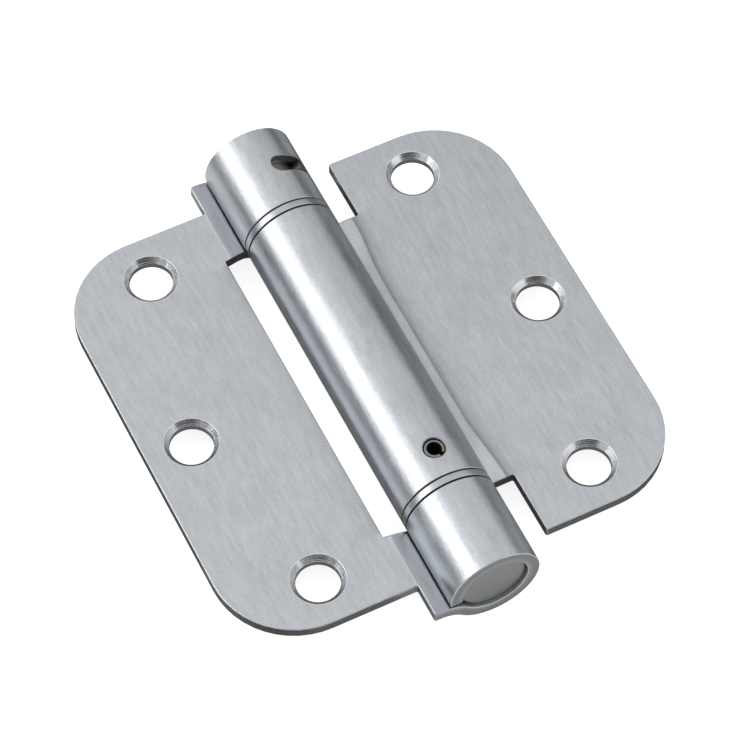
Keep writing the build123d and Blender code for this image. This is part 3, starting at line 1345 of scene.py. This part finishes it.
@dataclass(frozen=True)
class SatinChrome:
    """Satin plate on the sheet: bluish grey with a fine grain, rubbed edges and the tool's crease, with
    painted shade beside the crease and where gloss sees the plate.
    """

    reach: float
    curl_start: float
    name: str = "satin chrome"
    dark: Colour = (0.42, 0.445, 0.47)
    light: Colour = (0.59, 0.615, 0.645)
    smooth: float = 0.29
    rough: float = 0.4
    relief: float = 0.00005
    painted_shade_in_gloss: float = 0.14

    def material(self, effects: Effects) -> bpy.types.Material:
        """Build the finish.

        Args:
            effects: The shared shader groups.

        Returns:
            The material.
        """
        metal = MetalGraph(self.name)
        place = metal.attribute("blank_place", "Vector")
        grain = metal.group(effects.grain, {"Place": place})
        shine = metal.group(effects.shine, {
            "Color": metal.tones(grain["Tone"], 0.3, 0.7, self.dark, self.light),
            "Rough": metal.span(grain["Rough"], 0.3, 0.7, self.smooth, self.rough),
            "Worn": metal.attribute("edge_wear"), "Place": place})
        crease = metal.group(effects.crease, {
            "Blank Place": place, "Reach": self.reach * MM, "Curl Start": self.curl_start * MM})
        bump = metal.bump(grain["Height"], self.relief, metal.bump(crease["Height"], 1.0))
        # Painted shade: the plate's colour darkens by a share where gloss sees it, and beside the crease by
        # the crease's painted shade.
        bounce = metal.times(metal.add("ShaderNodeLightPath").outputs["Is Glossy Ray"], self.painted_shade_in_gloss)
        painted_shade_share = metal.math("MAXIMUM", bounce, crease["Painted Shade"])
        return metal.finish(metal.blend(painted_shade_share, shine["Color"], (0.0, 0.0, 0.0, 1.0)), shine["Rough"], bump)


@dataclass(frozen=True)
class CutEdge:
    """Sheared edge of the sheet: a smooth band below the face, then a rough torn band."""

    name: str = "sheared edge"
    band: Colour = (0.235, 0.239, 0.241)
    torn: Colour = (0.195, 0.197, 0.197)
    speck: Colour = (0.4, 0.405, 0.41)
    speck_share: float = 0.6
    band_depth: float = 0.34
    border: float = 0.06
    waver: float = 0.12
    band_rough: float = 0.34
    torn_rough: float = 0.55
    grain: float = 3500.0
    relief: float = 0.00004
    band_relief: float = 0.25

    def material(self, effects: Effects) -> bpy.types.Material:
        """Build the finish.

        Args:
            effects: The shared shader groups.

        Returns:
            The material.
        """
        metal = MetalGraph(self.name)
        place = metal.place()
        grain = metal.group(effects.grain, {"Place": place, "Grain": self.grain, "Drawn": 1.0})
        waver = metal.span(grain["Tone"], 0, 1, -self.waver, self.waver)
        depth = metal.plus(metal.attribute("sheet_depth"), waver)
        torn = metal.span(depth, self.band_depth - self.border, self.band_depth + self.border, 0.0, 1.0)
        base = metal.blend(torn, (*self.band, 1), (*self.torn, 1))
        specks = metal.span(grain["Height"], 0.35, 0.65, 0.0, self.speck_share)
        shine = metal.group(effects.shine, {
            "Color": metal.blend(specks, base, (*self.speck, 1)),
            "Rough": metal.span(torn, 0, 1, self.band_rough, self.torn_rough),
            "Worn": metal.attribute("edge_wear"), "Place": place})
        height = metal.times(grain["Height"], metal.span(torn, 0, 1, self.band_relief, 1.0))
        return metal.finish(shine["Color"], shine["Rough"], metal.bump(height, self.relief))


@dataclass(frozen=True)
class TurnedHole:
    """Bright countersink with the cutter's lines, whose pitch is in millimetres."""

    name: str = "turned countersink"
    dark: Colour = (0.55, 0.56, 0.58)
    light: Colour = (0.95, 0.96, 0.97)
    smooth: float = 0.14
    rough: float = 0.24
    pitch: float = 0.06
    relief: float = 0.000008

    def material(self, effects: Effects) -> bpy.types.Material:
        """Build the finish.

        Args:
            effects: The shared shader groups.

        Returns:
            The material.
        """
        metal = MetalGraph(self.name)
        place = metal.place()
        lines = metal.group(effects.turned, {
            "Distance": metal.attribute("turn_radius"), "Place": place, "Pitch": self.pitch})
        shine = metal.group(effects.shine, {
            "Color": metal.tones(lines["Tone"], 0.35, 0.65, self.dark, self.light),
            "Rough": metal.span(lines["Tone"], 0.3, 0.7, self.smooth, self.rough),
            "Worn": metal.attribute("edge_wear"), "Place": place})
        return metal.finish(shine["Color"], shine["Rough"], metal.bump(lines["Height"], self.relief))


@dataclass(frozen=True)
class TurnedSteel:
    """Steel turned about the hinge's pin axis, with rings on its ends and round its sides."""

    name: str
    dark: Colour
    light: Colour
    smooth: float
    rough: float
    pitch: float = 0.00012
    grain: float = 5000.0
    lines_share: float = 0.6
    relief: float = 0.000004

    def material(self, effects: Effects) -> bpy.types.Material:
        """Build the finish.

        Args:
            effects: The shared shader groups.

        Returns:
            The material.
        """
        metal = MetalGraph(self.name)
        place = metal.place()
        x, y, z = metal.parts(place)
        across = metal.add("ShaderNodeVectorMath", {0: metal.joined({0: x, 1: z})}, operation="LENGTH")
        distance = metal.plus(across.outputs["Value"], y)
        lines = metal.group(effects.turned, {"Distance": distance, "Place": place, "Pitch": self.pitch})
        grain = metal.group(effects.grain, {"Place": place, "Grain": self.grain, "Drawn": 1.0})
        tone = metal.weighed(self.lines_share, lines["Tone"], grain["Tone"])
        height = metal.weighed(self.lines_share, lines["Height"], grain["Height"])
        return metal.finish(
            metal.tones(tone, 0.35, 0.65, self.dark, self.light),
            metal.span(grain["Rough"], 0.3, 0.7, self.smooth, self.rough), metal.bump(height, self.relief))


def new_nodes_modifier(name: str, tree: bpy.types.NodeTree, settings: dict[str, Any]) -> bpy.types.Object:
    """An object whose mesh a Geometry Nodes tree makes.

    Args:
        name: The object's name.
        tree: The tree.
        settings: Values for the tree's named inputs.

    Returns:
        The object with its modifier.
    """
    made = new_object(name, bpy.data.meshes.new(name))
    modifier = made.modifiers.new("shape", "NODES")
    modifier.node_group = tree
    names = {item.name: item.identifier for item in tree.interface.items_tree if item.in_out == "INPUT"}
    for key, value in settings.items():
        modifier[names[key]] = value
    return made


def settle(made: bpy.types.Object) -> None:
    """Turn an object with a modifier into a plain mesh and remove the modifier.

    Args:
        made: The object.
    """
    graph = bpy.context.evaluated_depsgraph_get()
    mesh = bpy.data.meshes.new_from_object(
        made.evaluated_get(graph), preserve_all_data_layers=True, depsgraph=graph)
    made.modifiers.clear()
    made.data = mesh
    mesh.name = made.name


def rounded_section(graph: Graph, width: Any, height: Any, edge: Any, steps: int) -> bpy.types.NodeSocket:
    """Rectangular section with rounded corners, for a sweep.

    Args:
        graph: The tree's graph.
        width: The section's width.
        height: Its height.
        edge: Radius of its corners.
        steps: Number of points that round a corner.

    Returns:
        The section's curve.
    """
    section = graph.add("GeometryNodeCurvePrimitiveQuadrilateral", {"Width": width, "Height": height})
    return graph.add("GeometryNodeFilletCurve", {
        "Curve": section.outputs[0], "Count": steps, "Radius": edge}, mode="POLY").outputs[0]


def end_tree(graph: Graph, geometry: bpy.types.NodeSocket, material: bpy.types.Material, end: Any) -> None:
    """Smooth and dress what a tree has made, and put it out.

    Args:
        graph: The tree's graph.
        geometry: What it has made.
        material: The material.
        end: The sockets of the tree's outputs.
    """
    smooth = graph.add("GeometryNodeSetShadeSmooth", {"Geometry": geometry})
    real = graph.add("GeometryNodeRealizeInstances", {"Geometry": smooth.outputs[0]})
    dressed = graph.add("GeometryNodeSetMaterial", {"Geometry": real.outputs[0], "Material": material})
    graph.feed(dressed.outputs[0], end["Geometry"])


def ring_tree(material: bpy.types.Material) -> bpy.types.NodeTree:
    """Tree for a flat ring with broken edges, swept round the pin's axis.

    Args:
        material: The ring's material.

    Returns:
        The tree.
    """
    round_steps, corner_steps = 160, 4
    graph, start, end = new_group(
        "bearing ring", TreeKind.GEOMETRY,
        [Port("Outer Radius"), Port("Bore Radius"), Port("Thickness"), Port("Edge"), Port("Pin Place")],
        [Port("Geometry", Socket.GEOMETRY)])
    outer, bore = start["Outer Radius"], start["Bore Radius"]
    middle = graph.times(graph.plus(outer, bore), 0.5)
    circle = graph.add("GeometryNodeCurvePrimitiveCircle", {"Resolution": round_steps, "Radius": middle})
    width = graph.minus(outer, bore)
    section = rounded_section(graph, width, start["Thickness"], start["Edge"], corner_steps)
    swept = graph.add("GeometryNodeCurveToMesh", {"Curve": circle.outputs[0], "Profile Curve": section})
    laid = graph.add("GeometryNodeTransform", {
        "Geometry": swept.outputs[0], "Translation": graph.joined({1: start["Pin Place"]}),
        "Rotation": (math.pi / 2, 0.0, 0.0)})
    end_tree(graph, laid.outputs[0], material, end)
    return graph.tree


def outward(made: bpy.types.Object) -> None:
    """Turn a closed mesh's faces outwards if they point inwards.

    Args:
        made: The object.
    """
    mesh = bmesh.new()
    mesh.from_mesh(made.data)
    bmesh.ops.remove_doubles(mesh, verts=mesh.verts[:], dist=SAME_PLACE)
    if mesh.calc_volume(signed=True) < 0:
        bmesh.ops.reverse_faces(mesh, faces=mesh.faces[:])
    mesh.to_mesh(made.data)
    mesh.free()


def weigh_normals(made: bpy.types.Object) -> None:
    """Keep large faces flat beside their rounded edges.

    Args:
        made: The object.
    """
    modifier = made.modifiers.new("flat faces", "WEIGHTED_NORMAL")
    modifier.weight = 100
    settle(made)


@dataclass
class BearingRings:
    """The two plain rings that the centre knuckle's ends run on."""

    sizes: HingeSizes
    material: bpy.types.Material
    edge: float = 0.08
    inset: float = 0.26

    def build(self) -> list[bpy.types.Object]:
        """Make both rings in place of their plain solids.

        Returns:
            The rings' objects.
        """
        tree = ring_tree(self.material)
        sizes, made = self.sizes, []
        middle = sizes.ring_start + sizes.ring_thickness / 2
        for name, side in (("lower_bearing_ring", -1), ("upper_bearing_ring", 1)):
            ring = new_nodes_modifier(name + "_turned", tree, {
                "Outer Radius": sizes.barrel_radius * MM, "Bore Radius": sizes.bore_radius * MM,
                "Thickness": (sizes.ring_thickness - 2 * self.inset) * MM, "Edge": self.edge * MM,
                "Pin Place": side * middle * MM})
            settle(ring)
            outward(ring)
            weigh_normals(ring)
            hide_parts(name)
            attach(ring, "frame_leaf")
            made.append(ring)
        return made


def coil_tree(material: bpy.types.Material) -> bpy.types.NodeTree:
    """Tree for a flat wire that is bent in its plane and then wound round the pin's axis.

    The wire's path is laid out flat, with the distance round the coil on X and the place along
    the pin on Y, and is then wrapped to the coil's radius.

    Args:
        material: The wire's material.

    Returns:
        The tree.
    """
    bend_steps, corner_steps = 8, 3
    names = ("Coil Radius", "First Angle", "Last Angle", "Foot", "Coil Foot", "Coil Top", "Top",
             "Wire Width", "Wire Thickness", "Edge", "Bend")
    graph, start, end = new_group(
        "torsion coil", TreeKind.GEOMETRY, [*map(Port, names), Port("Steps", Socket.WHOLE, 900)],
        [Port("Geometry", Socket.GEOMETRY)])
    radius = start["Coil Radius"]
    first = graph.times(start["First Angle"], radius)
    last = graph.times(start["Last Angle"], radius)
    marks = [(first, "Foot"), (first, "Coil Foot"), (last, "Coil Top"), (last, "Top")]
    line = graph.add("GeometryNodeMeshLine", {"Count": len(marks)})
    chooser = graph.add("GeometryNodeIndexSwitch", data_type="VECTOR")
    while len(chooser.index_switch_items) < len(marks):
        chooser.index_switch_items.new()
    graph.feed(graph.add("GeometryNodeInputIndex").outputs[0], chooser.inputs[0])
    for number, (round_it, name) in enumerate(marks):
        graph.feed(graph.joined({0: round_it, 1: start[name]}), chooser.inputs[1 + number])
    placed = graph.add("GeometryNodeSetPosition", {
        "Geometry": line.outputs[0], "Position": chooser.outputs[0]})
    path = graph.add("GeometryNodeMeshToCurve", {"Mesh": placed.outputs[0]})
    bent = graph.add("GeometryNodeFilletCurve", {
        "Curve": path.outputs[0], "Count": bend_steps, "Radius": start["Bend"]}, mode="POLY")
    even = graph.add("GeometryNodeResampleCurve", {"Curve": bent.outputs[0], "Count": start["Steps"]})
    level = graph.add("GeometryNodeSetCurveNormal", {"Curve": even.outputs[0]}, mode="Z_UP")
    section = rounded_section(
        graph, start["Wire Width"], start["Wire Thickness"], start["Edge"], corner_steps)
    swept = graph.add("GeometryNodeCurveToMesh", {
        "Curve": level.outputs[0], "Profile Curve": section, "Fill Caps": True})
    x, y, z = graph.parts(graph.add("GeometryNodeInputPosition").outputs[0])
    turn = graph.math("DIVIDE", x, radius)
    reach = graph.plus(radius, z)
    wound = graph.joined({
        0: graph.times(reach, graph.math("COSINE", turn)), 1: y,
        2: graph.times(reach, graph.times(graph.math("SINE", turn), -1.0))})
    wrapped = graph.add("GeometryNodeSetPosition", {"Geometry": swept.outputs[0], "Position": wound})
    end_tree(graph, wrapped.outputs[0], material, end)
    return graph.tree


@dataclass
class TorsionSpring:
    """Flat wire spring with a tang at each end, which twists as the door leaf swings."""

    material: bpy.types.Material
    wire_width: float = 3.2
    wire_thickness: float = 2.0
    coil_gap: float = 0.25
    tang: float = 3.7
    end_gap: float = 0.3
    edge: float = 0.35
    bend: float = 1.75
    end_slice: float = 0.2

    def tang_angle(self, top: bool) -> float:
        """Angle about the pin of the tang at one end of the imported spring.

        Args:
            top: Whether it is the end towards +Y.

        Returns:
            The angle in radians, which brings a point on +X to the tang.
        """
        low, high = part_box("torsion_spring")
        edge = high.y if top else -low.y
        near = [v.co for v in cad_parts["torsion_spring"].data.vertices
                if (v.co.y if top else -v.co.y) > edge - self.end_slice * MM]
        middle = sum(near, Vector()) / len(near)
        return math.atan2(-middle.z, middle.x)

    def build(self) -> bpy.types.Object:
        """Make the spring in place of its plain solid.

        Returns:
            The spring's object.
        """
        low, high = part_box("torsion_spring")
        foot, top = low.y / MM, high.y / MM
        coil_foot = foot + self.tang + self.wire_width / 2 - self.end_gap
        coil_top = top - self.tang - self.wire_width / 2 + self.end_gap
        turns = (coil_top - coil_foot) / (self.wire_width + self.coil_gap)
        first = self.tang_angle(False)
        part = (self.tang_angle(True) - first) / (2 * math.pi) % 1
        last = first + (math.floor(turns - part + 0.5) + part) * 2 * math.pi
        radius = high.x / MM - self.wire_thickness / 2
        spring = new_nodes_modifier("torsion_spring_wound", coil_tree(self.material), {
            "Coil Radius": radius * MM, "First Angle": first, "Last Angle": last, "Foot": foot * MM,
            "Coil Foot": coil_foot * MM, "Coil Top": coil_top * MM, "Top": top * MM,
            "Wire Width": self.wire_width * MM, "Wire Thickness": self.wire_thickness * MM,
            "Edge": self.edge * MM, "Bend": self.bend * MM})
        settle(spring)
        outward(spring)
        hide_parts("torsion_spring")
        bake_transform(spring)
        return spring


@dataclass(frozen=True)
class Softbox:
    """A long soft lamp that hangs beside the barrel and parallel to it.

    Its place is given as seen from the hinge: angles from the top towards the door leaf.
    """

    name: str
    first: float
    last: float
    distance: float
    near_end: float
    far_end: float
    radiance: float

    def build(self) -> None:
        """Hang the lamp."""
        middle = math.radians((self.first + self.last) / 2)
        width = 2 * self.distance * math.tan(math.radians(self.last - self.first) / 2)
        length = self.far_end - self.near_end
        light = bpy.data.lights.new(self.name, "AREA")
        light.shape = "RECTANGLE"
        light.size, light.size_y = width, length
        light.energy = self.radiance * math.pi * width * length
        made = new_object(self.name, light)
        x, z = self.distance * math.sin(middle), self.distance * math.cos(middle)
        made.location = (x, (self.near_end + self.far_end) / 2, z)
        made.rotation_euler = (0, middle, 0)
        made.visible_camera = False


@dataclass(frozen=True)
class Card:
    """A plain card beside the set that only gloss shows."""

    name: str
    corners: tuple[tuple[float, float, float], ...]
    level: float

    def build(self) -> None:
        """Stand the card up."""
        mesh = bpy.data.meshes.new(self.name)
        mesh.from_pydata(self.corners, [], [tuple(range(len(self.corners)))])
        material = bpy.data.materials.new(self.name)
        material.use_nodes = True
        graph = Graph(material.node_tree)
        graph.tree.nodes.remove(graph.tree.nodes["Principled BSDF"])
        grey = (self.level, self.level, self.level, 1)
        glow = graph.add("ShaderNodeEmission", {"Color": grey, "Strength": 1.0})
        graph.feed(glow.outputs[0], graph.tree.nodes["Material Output"].inputs["Surface"])
        mesh.materials.append(material)
        made = new_object(self.name, mesh)
        made.visible_camera = False
        made.visible_diffuse = False
        made.visible_shadow = False
        made.visible_transmission = False


@dataclass
class Studio:
    """Pale floor, room light, lamps, cards and the camera. Its sizes are in metres."""

    floor_height: float
    floor_size: float = 4.0
    floor_tone: float = 0.7
    floor_glow: float = 0.8
    floor_gloss_glow: float = 0.28
    room: float = 0.85
    card_lift: float = 0.00001
    left_wall: float = -0.12
    right_wall: float = 0.12
    front_wall: float = -0.3
    far_left: float = -0.6
    front_foot: float = 0.06
    camera_place: tuple[float, float, float] = (-0.167395, -0.330923, 0.584849)
    camera_turn: tuple[float, float, float] = (32.32839, -0.33449, -26.33428)
    camera_lens: float = 185.3465

    def floor(self) -> None:
        """Lay the floor: white paper that keeps a faint shadow of the object."""
        half, z = self.floor_size / 2, self.floor_height
        mesh = bpy.data.meshes.new("floor")
        mesh.from_pydata(
            [(-half, -half, z), (half, -half, z), (half, half, z), (-half, half, z)], [], [(0, 1, 2, 3)])
        material = bpy.data.materials.new("white paper")
        material.use_nodes = True
        graph = Graph(material.node_tree)
        shader = graph.tree.nodes["Principled BSDF"].inputs
        shader["Base Color"].default_value = (self.floor_tone, self.floor_tone, self.floor_tone, 1)
        shader["Roughness"].default_value = 0.9
        shader["Specular IOR Level"].default_value = 0.0
        rays = graph.add("ShaderNodeLightPath").outputs
        glossy = graph.math("MAXIMUM", rays["Is Glossy Ray"], rays["Is Transmission Ray"])
        glow = graph.plus(
            graph.times(rays["Is Camera Ray"], self.floor_glow), graph.times(glossy, self.floor_gloss_glow))
        graph.feed(glow, shader["Emission Strength"])
        shader["Emission Color"].default_value = (1, 1, 1, 1)
        mesh.materials.append(material)
        new_object("floor", mesh)

    def world(self) -> None:
        """Light the room evenly, with a white ground for what sees it directly or in gloss."""
        world = bpy.data.worlds.new("studio room")
        world.use_nodes = True
        bpy.context.scene.world = world
        graph = Graph(world.node_tree)
        rays = graph.add("ShaderNodeLightPath").outputs
        glossy = graph.math("MAXIMUM", rays["Is Glossy Ray"], rays["Is Transmission Ray"])
        seen = graph.math("MAXIMUM", rays["Is Camera Ray"], glossy)
        back = graph.tree.nodes["Background"].inputs
        back["Color"].default_value = (1, 1, 1, 1)
        graph.feed(graph.span(seen, 0, 1, self.room, 1.0), back["Strength"])

    def long_card(self, name: str, start: tuple[float, float], end: tuple[float, float], near: float,
                  far: float, level: float) -> None:
        """Stand up a card that runs parallel to the barrel.

        Args:
            name: The card's name.
            start: X and Z of its first long edge.
            end: X and Z of its other long edge.
            near: Y of its near end.
            far: Y of its far end.
            level: Its brightness.
        """
        corners = [(x, y, z) for (x, z), y in ((start, near), (end, near), (end, far), (start, far))]
        Card(name, tuple(corners), level).build()

    def wall_card(self, name: str, top: float, near: float, far: float, level: float) -> None:
        """Stand up a card on the floor, to the left of the hinge."""
        self.long_card(name, (self.left_wall, self.floor_height), (self.left_wall, top), near, far, level)

    def floor_card(self, name: str, left: float, right: float, near: float, far: float, level: float,
                   layer: int = 1) -> None:
        """Lay a card on the floor.

        Args:
            name: The card's name.
            left: X of its left edge.
            right: X of its right edge.
            near: Y of its near end.
            far: Y of its far end.
            level: Its brightness.
            layer: How many times it is lifted, so that it clears the cards that it crosses.
        """
        z = self.floor_height + layer * self.card_lift
        self.long_card(name, (left, z), (right, z), near, far, level)

    def lamps(self) -> None:
        """Hang the lamp and stand up the cards."""
        Softbox("key softbox", first=-69.0, last=-33.0, distance=0.7, near_end=0.03, far_end=0.75,
                radiance=1.95).build()
        wall, ground, near, far = self.right_wall, self.floor_height, -0.015, 0.3
        near_top, far_top = 0.044, 0.075
        corners = ((wall, near, ground), (wall, far, ground), (wall, far, far_top), (wall, near, near_top))
        Card("side card", corners, level=0.12).build()
        self.long_card("upper near card", (0.5, 0.266), (0.17, 0.5), near=-0.6, far=0.26, level=0.97)
        self.long_card("upper far card", (0.5, 0.266), (0.17, 0.5), near=0.26, far=1.2, level=0.68)
        self.wall_card("low near card", top=0.03, near=-0.03, far=0.035, level=0.22)
        self.floor_card("left floor card", self.left_wall, -0.0505, near=-0.02, far=0.2, level=0.3)
        self.wall_card("low middle card", top=0.034, near=0.035, far=0.08, level=0.02)
        self.wall_card("low far card", top=0.034, near=0.08, far=0.3, level=0.1)
        # Painted shadow: this dark card on the floor under the hinge stands in for the hinge's shadow there,
        # as the metal reflects it.
        self.floor_card("painted shadow card under hinge", -0.0122, 0.042, near=-0.044, far=0.044, level=0.08)
        self.floor_card("far floor card", 0.008, 0.026, near=0.046, far=0.2, level=0.1, layer=2)
        self.floor_card("far side card", 0.026, self.right_wall, near=0.046, far=0.2, level=0.5, layer=2)
        left, right, foot, top, front = self.far_left, 0.16, self.front_foot, 0.3, self.front_wall
        corners = ((left, front, foot), (right, front, foot), (right, front, top), (left, front, top))
        Card("front card", corners, level=0.062).build()
        self.long_card("camera side card", (left, foot), (left, 0.28), near=front, far=-0.02, level=0.1)
        # Painted shadow: these dark cards on the floor under the leaves stand in for the leaves' shadow, as
        # their edges reflect it.
        self.floor_card("frame leaf painted shadow card", -0.05, -0.0145, near=-0.0505, far=0.05, level=0.1)
        self.floor_card("door leaf painted shadow card", 0.0145, 0.05, near=-0.0505, far=0.04, level=0.1, layer=3)

    def camera(self) -> None:
        """Set the camera at the photograph's angle."""
        data = bpy.data.cameras.new("camera")
        data.lens, data.sensor_width = self.camera_lens, 36.0
        data.clip_start, data.clip_end = 0.01, 50.0
        made = new_object("camera", data)
        made.location = self.camera_place
        made.rotation_euler = Euler([math.radians(a) for a in self.camera_turn], "XYZ")
        bpy.context.scene.camera = made

    def build(self) -> None:
        """Set up the whole studio."""
        bpy.context.scene.view_settings.view_transform = "Standard"
        self.floor()
        self.world()
        self.lamps()
        self.camera()


def dress(node: str, material: bpy.types.Material) -> None:
    """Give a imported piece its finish.

    Args:
        node: The piece's name.
        material: The finish.
    """
    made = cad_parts[node]
    made.data.materials.clear()
    made.data.materials.append(material)
    log.info("dressed %s", node)


def main() -> None:
    """Build every piece in order and set up the studio."""
    logging.basicConfig(level=logging.INFO)
    sizes = HingeSizes.from_frame()
    effects = Effects()
    curl_start = BentSheet(sizes, Side.DOOR).curl_start
    finishes = (SatinChrome(sizes.reach, curl_start), CutEdge(), TurnedHole())
    sheet_finishes = [finish.material(effects) for finish in finishes]
    ring_chrome = TurnedSteel("ring chrome", (0.36, 0.37, 0.385), (0.56, 0.575, 0.59), 0.28, 0.4)
    plug_steel = TurnedSteel("plug steel", (0.247, 0.25, 0.249), (0.297, 0.3, 0.299), 0.42, 0.52)
    adjuster_steel = TurnedSteel("adjuster steel", (0.36, 0.36, 0.355), (0.5, 0.5, 0.49), 0.3, 0.42)
    # Painted shade: the tension pin's steel is near black so that its end stays dark in the adjusting slot.
    pin_steel = TurnedSteel("pin steel", (0.07, 0.07, 0.07), (0.13, 0.13, 0.13), 0.4, 0.5)
    roll_steel = TurnedSteel("roll pin steel", (0.16, 0.155, 0.145), (0.34, 0.33, 0.31), 0.25, 0.4)
    spring_steel = TurnedSteel("oiled spring wire", (0.08, 0.08, 0.085), (0.14, 0.14, 0.145), 0.3, 0.42)

    frame_side = FrameLeaf("frame_leaf_sheet", "frame_leaf", Side.FRAME, sizes, sheet_finishes)
    door_side = DoorLeaf("door_leaf_sheet", "door_leaf", Side.DOOR, sizes, sheet_finishes)
    rings = BearingRings(sizes, ring_chrome.material(effects))
    made = [frame_side.build(), door_side.build(), *rings.build()]
    made.append(RollPin(
        "roll_pin_tube", "roll_pin", "door_leaf", roll_steel.material(effects), angle=door_side.pin_angle,
        pin=door_side.pin_place, radius=1.87, inner_end=-6.08, outer_end=8.45, edge=0.15).build())
    made.append(BarrelPin(
        "tension_pin_rod", "tension_pin", "adjuster", pin_steel.material(effects), angle=frame_side.slot_last,
        pin=frame_side.slot_place, radius=1.59, inner_end=3.44, outer_end=8.6, edge=0.3).build())
    made.append(TorsionSpring(spring_steel.material(effects)).build())
    for piece in made:
        log.info("built %s with %d faces", piece.name, len(piece.data.polygons))
    dress("lower_pivot_plug", plug_steel.material(effects))
    dress("adjusting_plug", adjuster_steel.material(effects))
    Studio(floor_height=-(sizes.barrel_radius + FLOOR_GAP) * MM).build()


if __name__ == "__main__":
    main()
